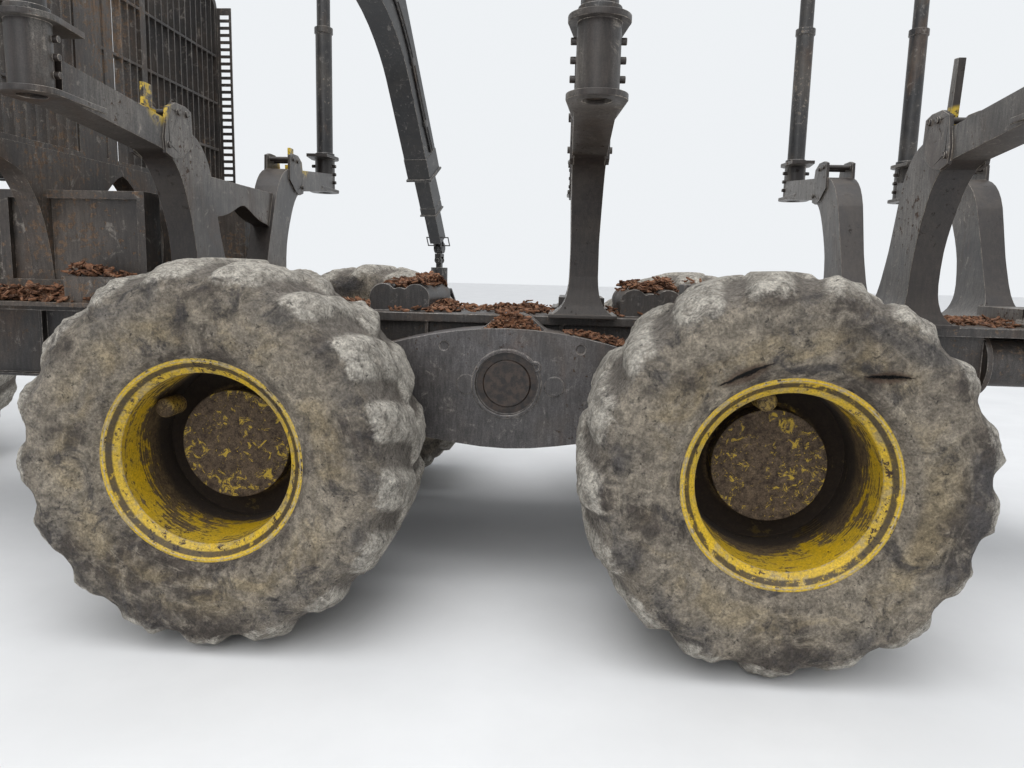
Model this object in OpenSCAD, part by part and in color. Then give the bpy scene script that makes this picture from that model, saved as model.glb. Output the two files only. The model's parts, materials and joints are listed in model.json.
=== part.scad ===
// Eight-wheel forestry forwarder, standing parked with its crane slewed out to the right.
// Millimetres. +X is forward, +Y is the machine's left, +Z is up. Z 0 is the ground.

/* [Wheels] */

// Radius of a tyre at its lug tips
tyre_r = 708; // [670:1:715]
// Width of a tyre
tyre_w = 700; // [500:5:800]
// Radius of the rim's outer flange
rim_flange_r = 366; // [330:1:380]
// Lateral place of the rim's outer face
rim_face_y = 1420; // [1200:5:1500]
// Width of the rim from flange to flange
rim_w = 620; // [400:5:700]
// Distance between the two wheels of a rear bogie
rear_bogie_pitch = 2010; // [1400:5:2100]
// Distance between the two wheels of a front bogie
front_bogie_pitch = 1500; // [1400:5:1700]

/* [Rear unit] */

// Place of the rear bogie pivot behind the steering joint
rear_pivot_x = -3555; // [-4200:5:-3000]
// Half width of the frame's top flange
frame_half_w = 450; // [300:5:500]
// Height of the frame's top face
frame_top_z = 1150; // [1000:5:1300]
// Half distance between the stakes
stake_y = 1500; // [1200:5:1600]
// Height of the stake tops
stake_top_z = 3250; // [2600:10:3300]
// Height of the headboard gate's top edge
gate_top_z = 3100; // [2600:10:3300]
// Half width of the headboard gate
gate_half_w = 1280; // [1000:10:1400]

/* [Front unit] */

// Place of the front bogie pivot ahead of the steering joint
front_pivot_x = 1600; // [1400:5:1800]
// Half width of the cab
cab_half_w = 850; // [700:5:900]
// Height of the cab's roof panel top
cab_top_z = 3440; // [3000:10:3500]
// Thickness of the cab's walls and door
cab_wall = 60; // [40:1:80]

/* [Crane] */

// Compass angle of the boom, 0 is ahead, 180 straight back
boom_azimuth = 258; // [250:1:265]
// Half width of the main boom
boom_half_w = 130; // [110:1:150]
// Half width of the outer jib box
jib_half_w = 150; // [130:1:160]

/* [Fits] */

// Radial clearance of a pin in its bore
pin_fit = 0.05; // [0.02:0.01:0.10]
// Clearance of a sliding pad in its box
pad_fit = 0.1; // [0.05:0.01:0.3]

/* [Hidden] */

// Shift that puts the origin under the middle of the whole machine
shift_x = 1125;
shift_y = 2744.1;

tyre_mid_y = rim_face_y - rim_w / 2;
// A tyre has 17 lugs a side, drawn in steps of a third of a lug, and stands on the flat of one step
lugs = 17;
steps = 3 * lugs;
step_deg = 360 / steps;
// Heights are drawn with the axles here, and the machine is then lifted onto its tyres
axle_z = 664;
lift_z = tyre_r * cos(step_deg / 2) - axle_z;
rear_x = [rear_pivot_x + rear_bogie_pitch / 2, rear_pivot_x - rear_bogie_pitch / 2];
front_x = [front_pivot_x - front_bogie_pitch / 2, front_pivot_x + front_bogie_pitch / 2];
spindle_r = 120;
bogie_in_y = 500;
bogie_out_y = 700;
pivot_z = 870;
bunk_x = [-2080, -3870, -5300, -6020];
gate_x = -1410;
joint_z = 950;
pillar_x = -550;
slew_z = 1600;
slew_gap = 0.3;

// Crane points in the crane's own upright plane, distance from the slewing axis and height
foot = [200, 3500];
elbow = [3500, 5300];
tip = [7000, 1650];
lift_low = [360, 1880];
lift_off = [524, 131];
jib_cyl_s = 1550;
jib_cyl_h = 330;
lever_r = 330;

boom_len = norm(elbow - foot);
boom_deg = atan2(elbow[1] - foot[1], elbow[0] - foot[0]);
jib_deg = atan2(tip[1] - elbow[1], tip[0] - elbow[0]);
lean_deg = 122;
lean = [cos(lean_deg), sin(lean_deg)];
lift_pin = foot + lift_off;
lift_len = norm(lift_pin - lift_low);
lift_deg = atan2(lift_pin[1] - lift_low[1], lift_pin[0] - lift_low[0]);
jib_cyl_low = foot + [jib_cyl_s * cos(boom_deg) - jib_cyl_h * sin(boom_deg),
    jib_cyl_s * sin(boom_deg) + jib_cyl_h * cos(boom_deg)];
lever_deg = jib_deg + 157.5;
lever_pin = elbow + lever_r * [cos(lever_deg), sin(lever_deg)];
jib_cyl_len = norm(lever_pin - jib_cyl_low);
jib_cyl_deg = atan2(lever_pin[1] - jib_cyl_low[1], lever_pin[0] - jib_cyl_low[0]);

// Curve helpers

// Points of an arc round c, from angle a0 to a1
function arc(c, r, a0, a1, n) = [for (i = [0:n]) c + r * [cos(a0 + (a1 - a0) * i / n), sin(a0 + (a1 - a0) * i / n)]];

// Points of a smooth curve that leaves a toward b and comes into d from c
function curve(a, b, c, d, n) = [for (i = [0:n]) let(t = i / n, u = 1 - t)
    u * u * u * a + 3 * u * u * t * b + 3 * u * t * t * c + t * t * t * d];

// The outline mirrored to the other side of the upright axis
function flip(pts) = [for (p = pts) [-p[0], p[1]]];

function reversed(pts) = [for (i = [len(pts) - 1:-1:0]) pts[i]];

// Placing helpers

module put() {
    translate([shift_x, shift_y, lift_z]) children();
}

// Draws from [distance, height] outlines in the crane's upright plane
module crane_plane() {
    put() translate([pillar_x, 0, 0]) rotate([0, 0, boom_azimuth]) rotate([90, 0, 0]) children();
}

// A plate of the crane plane, t thick, centred
module plate(t) {
    linear_extrude(height = t, center = true) children();
}

module disc(p, r, t) {
    translate([p[0], p[1], 0]) cylinder(r = r, h = t, center = true, $fn = 48);
}

// A pair of plates or discs with a free space between them
module pair(inner, t) {
    for (s = [-1, 1]) translate([0, 0, s * (inner + t / 2)]) children();
}

// A straight strip from p to q, w wide
module strip(p, q, w) {
    a = atan2(q[1] - p[1], q[0] - p[0]);
    translate(p) rotate(a) translate([0, -w / 2]) square([norm(q - p), w]);
}

// A box between two corners
module box(a, b) {
    translate(a) cube(b - a);
}

// A side outline of [x, z] points drawn from y0 to y1
module side_prism(pts, y0, y1) {
    translate([0, y1, 0]) rotate([90, 0, 0]) linear_extrude(height = y1 - y0) polygon(pts);
}

// An outline of [y, z] points drawn from x0 to x1
module cross_prism(pts, x0, x1) {
    translate([x0, 0, 0]) rotate([90, 0, 90]) linear_extrude(height = x1 - x0) polygon(pts);
}

// A bar lying along Y
module bar_y(x, y0, y1, z, r) {
    translate([x, y0, z]) rotate([-90, 0, 0]) cylinder(r = r, h = y1 - y0, $fn = 64);
}

// A bar lying along X
module bar_x(x0, x1, y, z, r) {
    translate([x0, y, z]) rotate([0, 90, 0]) cylinder(r = r, h = x1 - x0, $fn = 64);
}

// Wheels

bead_r = 322;

// Ring by ring from the inner lip to the outer one: radius on a lug, radius between lugs, place across
lip_r = (rim_flange_r + 0.3) / cos(step_deg / 2);
lip_z = rim_w / 2 - 8;
tyre_rings = [
    [lip_r, lip_r, -lip_z], [tyre_r - 165, tyre_r - 173, -tyre_w / 2],
    [tyre_r - 37, tyre_r - 71, -tyre_w / 2 + 34], [tyre_r, tyre_r, 0],
    [tyre_r - 37, tyre_r - 71, tyre_w / 2 - 34], [tyre_r - 165, tyre_r - 173, tyre_w / 2],
    [lip_r, lip_r, lip_z]
];

// Radius of ring k at step i; the lugs of the two sides stand one step apart
function lug_radius(k, i) = tyre_rings[k][(i + (k < 3 ? 2 : 0)) % 3 < 2 ? 0 : 1];

// Wheel drawn with its outer face at +Z, Z 0 at the middle of its width
module tyre_body() {
    rings = len(tyre_rings);
    points = [for (k = [0:rings - 1], i = [0:steps - 1]) let(a = (i - 0.5) * step_deg, r = lug_radius(k, i))
        [r * cos(a), r * sin(a), tyre_rings[k][2]]];
    faces = [for (k = [0:rings - 1], i = [0:steps - 1]) let(m = (k + 1) % rings, j = (i + 1) % steps,
        p = k * steps + i, q = k * steps + j, t = m * steps + i, u = m * steps + j) each [[p, t, u], [p, u, q]]];
    polyhedron(points, faces);
}

module rim_body() {
    o = rim_w / 2;
    difference() {
        rotate_extrude($fn = 96) polygon([
            [0, o - 290], [210, o - 290], [210, o - 380], [bead_r - 14, o - 400],
            [bead_r - 14, o - 40], [rim_flange_r - 12, o], [rim_flange_r, o],
            [rim_flange_r, o - 16], [bead_r + 14, o - 40], [bead_r + 14, -o + 40],
            [rim_flange_r, -o + 16], [rim_flange_r, -o], [rim_flange_r - 12, -o],
            [bead_r - 14, -o + 40], [bead_r - 14, o - 430], [200, o - 430],
            [200, -o + 90], [spindle_r + pin_fit, -o + 90], [spindle_r + pin_fit, o - 330],
            [0, o - 330]
        ]);
    }
}

// Sets a wheel at x on the left (side 1) or right (side -1)
module at_wheel(x, side) {
    put() translate([x, side * tyre_mid_y, axle_z]) rotate([-90 * side, 0, 0]) children();
}

module wheel_tyre(x, side) {
    color([0.23, 0.21, 0.19]) at_wheel(x, side) rotate([0, 0, 90 * side]) tyre_body();
}

module wheel_rim(x, side) {
    color([0.78, 0.62, 0.08]) at_wheel(x, side) rim_body();
}

// Bogie beams

// Radius of a beam's round end about its axle, and the angle where its top and bottom lines start
beam_end_r = 168;
beam_end_deg = 69;
beam_top_z = 1108;
beam_low_z = 588;
recess_r = 135;

// Half the outline of a boat-shaped beam, from its end over the top to the middle, measured from its pivot
function beam_top(half) = let(reach = half + beam_end_r * cos(beam_end_deg), z0 = axle_z + beam_end_r * sin(beam_end_deg))
    [for (i = [0:10]) let(t = 1 - i / 10) [reach * t, z0 + (beam_top_z - z0) * cos(90 * t)]];

// The underside swells a little ahead of the axle, then drops to it
function beam_low(half) = let(reach = half + beam_end_r * cos(beam_end_deg), z1 = axle_z - beam_end_r * sin(beam_end_deg),
    swell = 60, turn = 0.56)
    [for (i = [0:10]) let(t = i / 10) [reach * t, t < turn ? beam_low_z + swell * (1 - cos(180 * t / turn)) / 2
        : z1 + (beam_low_z + swell - z1) * (1 + cos(180 * (t - turn) / (1 - turn))) / 2]];

function beam_half(half) = concat(beam_low(half), arc([half, axle_z], beam_end_r, -beam_end_deg, beam_end_deg, 10),
    beam_top(half));

module bogie_beam(px, half, side) {
    y0 = side > 0 ? bogie_in_y : -bogie_out_y;
    right = beam_half(half);
    outline = concat(right, reversed(flip(right)));
    translate([px, 0, 0]) {
        side_prism(outline, y0, y0 + bogie_out_y - bogie_in_y);
        // Rounded guard that stands behind the pocket on the beam's top
        side_prism(concat([[-175, beam_top_z - 60]], curve([-175, beam_top_z - 16], [-115, beam_top_z + 10],
            [-110, beam_top_z + 62], [-20, beam_top_z + 62], 6), curve([-20, beam_top_z + 62],
            [70, beam_top_z + 62], [75, beam_top_z + 10], [135, beam_top_z - 16], 6), [[135, beam_top_z - 60]]),
            side > 0 ? y0 : y0 + 95, side > 0 ? y0 + 105 : y0 + 200);
    }
}

// Puts a shape drawn on a beam's outer face, z outward, x to the front for the left beam
module on_beam(px, side) {
    translate([px, side * bogie_out_y, 0]) rotate([90, 0, 0]) mirror([0, 0, side > 0 ? 1 : 0]) children();
}

module bogie_pair(px, pitch) {
    half = pitch / 2;
    end_y = tyre_mid_y + rim_w / 2 - 350;
    for (side = [-1, 1]) {
        difference() {
            union() {
                bogie_beam(px, half, side);
                for (e = [-1, 1])
                    bar_y(px + e * half, side > 0 ? bogie_out_y - 1 : -end_y,
                        side > 0 ? end_y : -bogie_out_y + 1, axle_z, spindle_r);
                // Raised lip of the pivot recess, its plug, and worn bosses beside it
                on_beam(px, side) {
                    translate([0, pivot_z, -1]) cylinder(r = recess_r + 14, h = 8, $fn = 64);
                    for (x = [-205, 172]) translate([x, pivot_z - 6, -1]) cylinder(r = 42, h = 5, $fn = 48);
                    translate([-122, pivot_z + 76, -1]) cylinder(r = 24, h = 9, $fn = 48);
                }
            }
            on_beam(px, side) {
                translate([0, pivot_z, -22]) difference() {
                    cylinder(r = recess_r, h = 40, $fn = 64);
                    translate([0, 0, -1]) cylinder(r = recess_r - 34, h = 13, $fn = 64);
                }
                translate([-122, pivot_z + 76, -12]) cylinder(r = 13, h = 30, $fn = 48);
                for (x = [-312, 270]) translate([x, beam_top_z - 82, -12]) cylinder(r = 20, h = 20, $fn = 48);
                // Pocket on top, where bark gathers
                translate([-150, beam_top_z - 45, -95]) cube([270, 80, 83]);
            }
            bar_y(px, side > 0 ? bogie_in_y - 1 : -bogie_in_y - 30,
                side > 0 ? bogie_in_y + 30 : -bogie_in_y + 1, pivot_z, 110);
        }
    }
}

module rear_bogies() {
    color([0.20, 0.17, 0.15]) put() bogie_pair(rear_pivot_x, rear_bogie_pitch);
}

module front_bogies() {
    color([0.20, 0.17, 0.15]) put() bogie_pair(front_pivot_x, front_bogie_pitch);
}

// Rear unit

nose_x = -400;
box_end_x = -5650;
tail_x = -6420;
tail_end_x = -6500;
pin_r = 60;

module rear_frame() {
    color([0.16, 0.16, 0.17]) put() difference() {
        union() {
            box([box_end_x, -400, 790], [-900, 400, frame_top_z - 30]);
            box([-900, -250, 790], [nose_x, 250, frame_top_z - 30]);
            box([tail_end_x, -frame_half_w, frame_top_z - 40], [-1000, frame_half_w, frame_top_z]);
            box([-1000, -300, frame_top_z - 40], [nose_x, 300, frame_top_z]);
            box([tail_end_x, -frame_half_w, 850], [tail_x, frame_half_w, frame_top_z - 40]);
            for (s = [-1, 1]) {
                bar_x(tail_x - 1, box_end_x + 1, s * 300, 985, 105);
                bar_x(box_end_x - 25, box_end_x + 1, s * 300, 985, 150);
                // Web stiffeners under the top flange
                for (x = [-1300:-620:-5200])
                    box([x - 8, s > 0 ? 399 : -frame_half_w + 12, 800], [x + 8, s > 0 ? frame_half_w - 12 : -399,
                        frame_top_z - 39]);
                box([box_end_x + 20, s > 0 ? 399 : -frame_half_w + 20, 790], [-1000, s > 0 ? frame_half_w - 20 : -399,
                    806]);
            }
            // Ribbed clamps and pads on top between the bunks
            for (x = [-3010, -4190], i = [-1:1])
                bar_y(x + i * 78, -330, 330, frame_top_z + 62, i == 0 ? 48 : 66);
            for (x = [-3010, -4190])
                box([x - 140, -330, frame_top_z - 1], [x + 140, 330, frame_top_z + 60]);
            box([-4700, -430, frame_top_z - 1], [-4420, -230, frame_top_z + 150]);
            bar_y(rear_pivot_x, -bogie_in_y - 30, bogie_in_y + 30, pivot_z, 110 - pin_fit);
            // Nose fork around the steering pin
            for (z = [790, 1060]) {
                translate([0, 0, z]) cylinder(r = 140, h = 50, $fn = 64);
                box([nose_x - 1, -140, z], [0, 140, z + 50]);
            }
            translate([0, 0, 780]) cylinder(r = pin_r, h = 350, $fn = 64);
            // Tow lug
            box([tail_end_x - 100, -70, 960], [tail_end_x, 70, 1000]);
            translate([tail_end_x - 100, 0, 960]) cylinder(r = 70, h = 40, $fn = 64);
        }
        translate([tail_end_x - 100, 0, 950]) cylinder(r = 20, h = 60, $fn = 48);
        // The box beam is hollow
        box([box_end_x + 30, -370, 820], [-1000, 370, frame_top_z - 60]);
    }
}

// Bunks: feet on the frame, horns out to the stake sockets

socket_low_z = 1862;
socket_top_z = 2085;
socket_plate = 20;
socket_r = 67;
arm_y = 800;

// The horn seen from behind: under its outer edge and arm, then back over the arm and down its inner edge
horn_pts = concat(
    curve([575, frame_top_z], [520, 1300], [560, 1500], [640, 1640], 8),
    curve([645, 1650], [695, 1745], [750, 1790], [arm_y + 40, 1806], 6),
    [[stake_y - 50, 1868], [stake_y - 50, 1985], [arm_y, 1928]],
    curve([640, 1915], [520, 1905], [450, 1850], [400, 1745], 6),
    curve([395, 1732], [330, 1560], [260, 1300], [140, frame_top_z], 8)
);

// The horn seen from the side: a flared foot, a slim middle and a slightly wider top
horn_side = concat([[130, frame_top_z - 1]], curve([130, 1166], [84, 1190], [64, 1240], [62, 1330], 6),
    [[60, 1480], [68, 1800], [70, 2020]]);

// Plate round a socket, drawn out to the arm until y
module socket_flange(z, y) {
    translate([0, 0, z]) linear_extrude(height = socket_plate) {
        translate([0, stake_y]) circle(r = 95, $fn = 64);
        polygon([[-95, stake_y], [-72, y], [72, y], [95, stake_y]]);
    }
}

// One side of a bunk, drawn at x 0 on the left
module horn() {
    difference() {
        union() {
            intersection() {
                cross_prism(horn_pts, -140, 140);
                side_prism(concat(horn_side, reversed(flip(horn_side))), 100, 1700);
            }
            translate([0, stake_y, socket_low_z])
                cylinder(r = socket_r, h = socket_top_z - socket_low_z, $fn = 64);
            socket_flange(socket_low_z, 1210);
            socket_flange(socket_top_z, 1320);
            // Clamp bolts of the socket, along x
            for (z = [1930, 1985, 2040])
                bar_x(-socket_r - 18, socket_r + 18, stake_y - 22, z, 11);
            box([-150, 130, frame_top_z], [150, 585, frame_top_z + 16]);
        }
        translate([0, stake_y, socket_low_z + 14]) cylinder(r = 55 + pin_fit, h = 400, $fn = 64);
        translate([0, stake_y, socket_low_z - 10]) cylinder(r = 45, h = 60, $fn = 64);
    }
    // Cheeks and pins that hold the arm in the head of the horn
    for (s = [-1, 1])
        cross_prism([[590, 1850], [600, 1990], [650, 2004], [735, 2004], [arm_y, 1975], [arm_y + 30, 1850],
            [arm_y + 20, 1790], [760, 1775], [690, 1790]], s > 0 ? 62 : -78, s > 0 ? 78 : -62);
    for (p = [[645, 1972], [715, 1968], [arm_y, 1825]])
        bar_x(-88, 88, p[0], p[1], 13);
}

module bunk(x) {
    translate([x, 0, 0]) {
        horn();
        mirror([0, 1, 0]) horn();
        box([-110, -200, frame_top_z], [110, 200, 1230]);
    }
}

// Hooked plate on the head of the first bunk's horns
module horn_hook() {
    side_prism([[-8, 1915], [8, 1915], [8, 2060], [-8, 2060]], 790, 850);
    side_prism([[-30, 1920], [30, 1920], [30, 1960], [-30, 1960]], 800, 940);
}

module bunks() {
    color([0.19, 0.18, 0.18]) put() {
        for (x = bunk_x) bunk(x);
        translate([bunk_x[0], 0, 0]) {
            horn_hook();
            mirror([0, 1, 0]) horn_hook();
            // Cross beam of the first bunk, with an arched underside
            cross_prism(concat([[-470, 1750], [470, 1750], [340, 1560]],
                curve([300, 1572], [140, 1585], [70, 1645], [0, 1648], 8),
                curve([0, 1648], [-70, 1645], [-140, 1585], [-300, 1572], 8), [[-340, 1560]]), -45, 45);
        }
        // Worn stub that stands on the head of the third bunk's left horn
        translate([bunk_x[2], 0, 0])
            cross_prism([[625, 1960], [670, 1960], [690, 2210], [650, 2215]], -14, 14);
    }
}

module stakes() {
    color([0.14, 0.14, 0.15]) put() for (x = bunk_x, s = [-1, 1])
        translate([x, s * stake_y, 0]) {
            translate([0, 0, socket_low_z + 14]) cylinder(r = 55, h = 2950 - socket_low_z - 14, $fn = 64);
            translate([0, 0, 2949]) cylinder(r = 45, h = stake_top_z - 2949, $fn = 64);
            translate([0, 0, 2920]) cylinder(r = 62, h = 40, $fn = 64);
            translate([0, 0, socket_top_z + socket_plate]) cylinder(r = 66, h = 24, $fn = 64);
        }
}

// Gate and the bridge that carries it
gate_low_z = 1830;
gate_corner_r = 110;
bar_pitch = 70;
slot_pitch = 45;

function gate_outline(m) = let(w = gate_half_w - m, top = gate_top_z - m, r = gate_corner_r - m)
    concat([[-w, gate_low_z + m], [w, gate_low_z + m]], arc([w - r, top - r], r, 0, 90, 6),
        arc([r - w, top - r], r, 90, 180, 6));

module headboard() {
    x0 = gate_x - 25;
    x1 = gate_x + 25;
    color([0.17, 0.17, 0.17]) put() {
        difference() {
            cross_prism(gate_outline(0), x0, x1);
            cross_prism(gate_outline(38), x0 - 1, x1 + 1);
        }
        intersection() {
            cross_prism(gate_outline(10), x0, x1);
            union() {
                for (s = [-1, 1], y = [bar_pitch * 4:bar_pitch:gate_half_w - 45])
                    box([x0 + 2, s * y - 5, gate_low_z], [x1 - 2, s * y + 5, gate_top_z]);
                for (y = [-210, -140])
                    box([x0 + 2, y - 5, gate_low_z], [x1 - 2, y + 5, gate_top_z]);
                box([x0, -380, gate_low_z], [x1 - 2, -322, gate_top_z]);
                for (z = [gate_low_z + 270:300:gate_top_z - 200])
                    box([x0 + 1, -gate_half_w, z], [x1 - 4, gate_half_w, z + 14]);
                // Solid panels beside the middle
                box([x0, 48, gate_low_z], [x0 + 14, 262, gate_top_z]);
                box([x0, -52, gate_low_z], [x0 + 14, 30, gate_top_z]);
            }
        }
        // Side flanges with a row of slots
        for (s = [-1, 1])
            difference() {
                box([x0 - 95, s > 0 ? gate_half_w - 8 : -gate_half_w, gate_low_z + 60],
                    [x0 + 5, s > 0 ? gate_half_w : 8 - gate_half_w, gate_top_z - 85]);
                for (z = [gate_low_z + 80:slot_pitch:gate_top_z - 125])
                    box([x0 - 80, s * gate_half_w - 20, z], [x0 - 18, s * gate_half_w + 20, z + 26]);
            }
        // Bridge with an arched middle, and its legs
        for (s = [-1, 1])
            cross_prism([for (p = concat([[0, gate_low_z + 4], [900, gate_low_z + 4], [900, 1770]],
                curve([760, 1720], [640, 1600], [600, 1500], [570, frame_top_z], 8),
                curve([340, frame_top_z], [370, 1400], [420, 1540], [330, 1600], 6),
                curve([290, 1620], [150, 1640], [90, 1770], [0, 1784], 6))) [s * p[0], p[1]]], gate_x - 75, gate_x + 24);
        // Side boxes between the bridge and the first bunk, each with a sunk panel, and the shelf below
        for (s = [-1, 1]) {
            difference() {
                box([-1930, s > 0 ? 470 : -600, frame_top_z + 60], [-960, s > 0 ? 600 : -470, 1655]);
                box([-1895, s > 0 ? 572 : -601, frame_top_z + 110], [-1300, s > 0 ? 601 : -572, 1620]);
                for (x = [-1255, -1010])
                    box([x, s > 0 ? 592 : -601, frame_top_z + 110], [x + 20, s > 0 ? 601 : -592, 1620]);
            }
            box([-1930, s > 0 ? 440 : -780, frame_top_z], [-960, s > 0 ? 780 : -440, frame_top_z + 18]);
            box([-1930, s > 0 ? 470 : -600, frame_top_z + 1], [-960, s > 0 ? 600 : -470, frame_top_z + 70]);
            box([-1915, s > 0 ? 598 : -750, frame_top_z + 17], [-1640, s > 0 ? 750 : -598, 1280]);
        }
    }
}

module crane_base() {
    color([0.15, 0.15, 0.16]) put() {
        box([-1250, -420, frame_top_z], [-250, 420, 1380]);
        translate([pillar_x, 0, 1300]) cylinder(r = 300, h = slew_z - 1300, $fn = 96);
    }
}

// Joint between the two units

module centre_joint() {
    color([0.15, 0.15, 0.15]) put() difference() {
        union() {
            translate([0, 0, 845]) cylinder(r = 130, h = 210, $fn = 64);
            box([0, -110, 845], [205, 110, 1055]);
            bar_x(200, 240, 0, joint_z, 200);
            bar_x(239, 620, 0, joint_z, 150);
        }
        translate([0, 0, 800]) cylinder(r = pin_r + pin_fit, h = 300, $fn = 64);
    }
}

// Front unit

front_end_x = 3950;
engine_x0 = 2750;
hood_hinge_x = 3920;
hood_hinge_z = 1400;

// Underside of the deck that joins the fenders and rests on the posts of the frame
deck_z = 1389;
deck_top_z = 1410;
// Clearance of a fender over the tyre's lugs
fender_gap = 24;

module front_frame() {
    color([0.16, 0.16, 0.17]) put() difference() {
        union() {
            bar_x(246, 640, 0, joint_z, 195);
            box([300, -280, 800], [front_end_x, 280, 1100]);
            bar_y(front_pivot_x, -bogie_in_y - 30, bogie_in_y + 30, pivot_z, 110 - pin_fit);
            for (x = [900, 2420])
                box([x, -320, 1090], [x + 160, 320, deck_z]);
            // Cross member and posts that carry the hood's two hinge pins
            box([hood_hinge_x - 30, -535, 1060], [front_end_x, 535, 1100]);
            for (s = [-1, 1]) {
                box([hood_hinge_x - 20, s > 0 ? 500 : -535, 1090], [hood_hinge_x + 20, s > 0 ? 535 : -500, 1435]);
                bar_y(hood_hinge_x, s > 0 ? 520 : -575, s > 0 ? 575 : -520, hood_hinge_z, 16);
            }
        }
        bar_x(240, 641, 0, joint_z, 150 + pin_fit);
        box([700, -250, 830], [front_end_x - 40, 250, 1070]);
    }
}

module front_guard() {
    x0 = front_end_x;
    color([0.13, 0.13, 0.14]) put() difference() {
        union() {
            side_prism([[x0, 760], [x0 + 120, 700], [x0 + 300, 760], [x0 + 340, 950], [x0 + 320, 1180],
                [x0 + 220, 1200], [x0, 1120]], -1150, 1150);
            box([x0 + 330, -70, 900], [x0 + 400, 70, 940]);
            translate([x0 + 400, 0, 900]) cylinder(r = 70, h = 40, $fn = 64);
            // Guard hoops in front of the lamps
            for (y = [-900, -560, 560, 900])
                side_prism(concat([[x0 + 230, 1190], [x0 + 230, 1330]],
                    curve([x0 + 230, 1340], [x0 + 240, 1400], [x0 + 330, 1400], [x0 + 345, 1330], 6),
                    [[x0 + 345, 900], [x0 + 315, 900], [x0 + 315, 1330], [x0 + 300, 1368], [x0 + 268, 1368],
                    [x0 + 255, 1340], [x0 + 255, 1190]]), y - 15, y + 15);
        }
        translate([x0 + 400, 0, 890]) cylinder(r = 20, h = 60, $fn = 48);
        // Lamp pockets
        for (y = [-730, 730])
            box([x0 + 200, y - 110, 1010], [x0 + 400, y + 110, 1130]);
    }
}

// A mudguard follows the fronts and backs of two wheels and dips between them
module fenders() {
    t = 20;
    crown_z = axle_z + tyre_r + fender_gap + t;
    dip_z = 1290;
    front = front_x[1] + tyre_r - 163;
    rear = front_x[0] - tyre_r + 163;
    top = concat(curve([rear - 130, 1000], [rear - 110, 1200], [rear - 10, crown_z], [rear + 150, crown_z], 6),
        curve([front_x[0] + 260, crown_z], [front_x[0] + 420, crown_z], [front_x[0] + 470, dip_z],
            [front_pivot_x, dip_z], 6),
        curve([front_pivot_x, dip_z], [front_x[1] - 470, dip_z], [front_x[1] - 420, crown_z],
            [front_x[1] - 260, crown_z], 6),
        curve([front - 150, crown_z], [front + 10, crown_z], [front + 110, 1200], [front + 130, 1000], 6));
    under = [for (p = top) [front_pivot_x + (p[0] - front_pivot_x) * (1 - t / 1400), p[1] - (p[1] > 1001 ? t : 0)]];
    color([0.14, 0.14, 0.14]) put() {
        for (s = [-1, 1])
            side_prism(concat(top, reversed(under)), s > 0 ? 760 : -1460, s > 0 ? 1460 : -760);
        box([700, -780, deck_z], [engine_x0 - 20, 780, deck_top_z]);
        for (x = [820, 2560], s = [-1, 1])
            translate([x, s * 700, deck_top_z - 1]) cylinder(r = 60, h = cab_floor_z - deck_top_z + 1, $fn = 48);
    }
}

cab_x0 = 800;
cab_x1 = 2620;
cab_floor_z = 1440;
door_x0 = 1360;
door_x1 = 2420;
door_hinge_z = [1600, 2130];
// Door hinges: axis off the wall, knuckle and pin radius
hinge_off = 16;
knuckle_r = 15;
hinge_pin_r = 8;

// Outline of the cab seen from the side
cab_side = [[cab_x0, cab_floor_z], [cab_x1, cab_floor_z], [cab_x1, 2300],
    [cab_x1 - 110, cab_top_z - 60], [cab_x0 + 40, cab_top_z - 60]];

module cab_shell() {
    w = cab_wall;
    inner = [[cab_x0 + w, cab_floor_z + w], [cab_x1 - w, cab_floor_z + w], [cab_x1 - w, 2290],
        [cab_x1 - 116 - w, cab_top_z - 61 + 2], [cab_x0 + w + 36, cab_top_z - 61 + 2]];
    door_hole = [[door_x0, cab_floor_z + w], [door_x1, cab_floor_z + w], [door_x1, 2400],
        [door_x1 - 90, 3290], [door_x0, 3290]];
    color([0.20, 0.20, 0.20]) put() for (z = door_hinge_z)
        translate([door_x1, cab_half_w + hinge_off, z]) {
            cylinder(r = hinge_pin_r, h = 170, $fn = 32);
            for (k = [0, 130]) {
                translate([0, 0, k]) cylinder(r = knuckle_r, h = 40, $fn = 32);
                translate([0, -hinge_off, k]) cube([40, hinge_off + 4, 40]);
            }
        }
    color([0.20, 0.20, 0.20]) put() difference() {
        side_prism(cab_side, -cab_half_w, cab_half_w);
        side_prism(inner, -cab_half_w + w, cab_half_w - w);
        // Door opening on the left, and a window of the same form on the right
        side_prism(door_hole, cab_half_w - w - 1, cab_half_w + 1);
        side_prism([[door_x0, 1900], [door_x1, 1900], [door_x1, 2400], [door_x1 - 90, 3290],
            [door_x0, 3290]], -cab_half_w - 1, -cab_half_w + w + 1);
        // Rear side windows
        for (y = [-cab_half_w - 1, cab_half_w - w - 1])
            side_prism([[940, 1900], [door_x0 - 70, 1900], [door_x0 - 70, 3290], [960, 3290]], y, y + w + 2);
        // Front and rear windows
        box([cab_x1 - 260, -cab_half_w + 90, 2000], [cab_x1 + 10, cab_half_w - 90, 3290]);
        box([cab_x0 - 10, -cab_half_w + 90, 1800], [cab_x0 + w + 60, cab_half_w - 90, 3290]);
    }
}

module cab_roof() {
    color([0.20, 0.20, 0.20]) put()
        side_prism([[cab_x0 - 40, cab_top_z - 60], [cab_x1 - 40, cab_top_z - 60],
            [cab_x1 - 60, cab_top_z - 15], [cab_x1 - 130, cab_top_z], [cab_x0 + 30, cab_top_z],
            [cab_x0 - 40, cab_top_z - 25]], -cab_half_w - 10, cab_half_w + 10);
}

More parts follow.
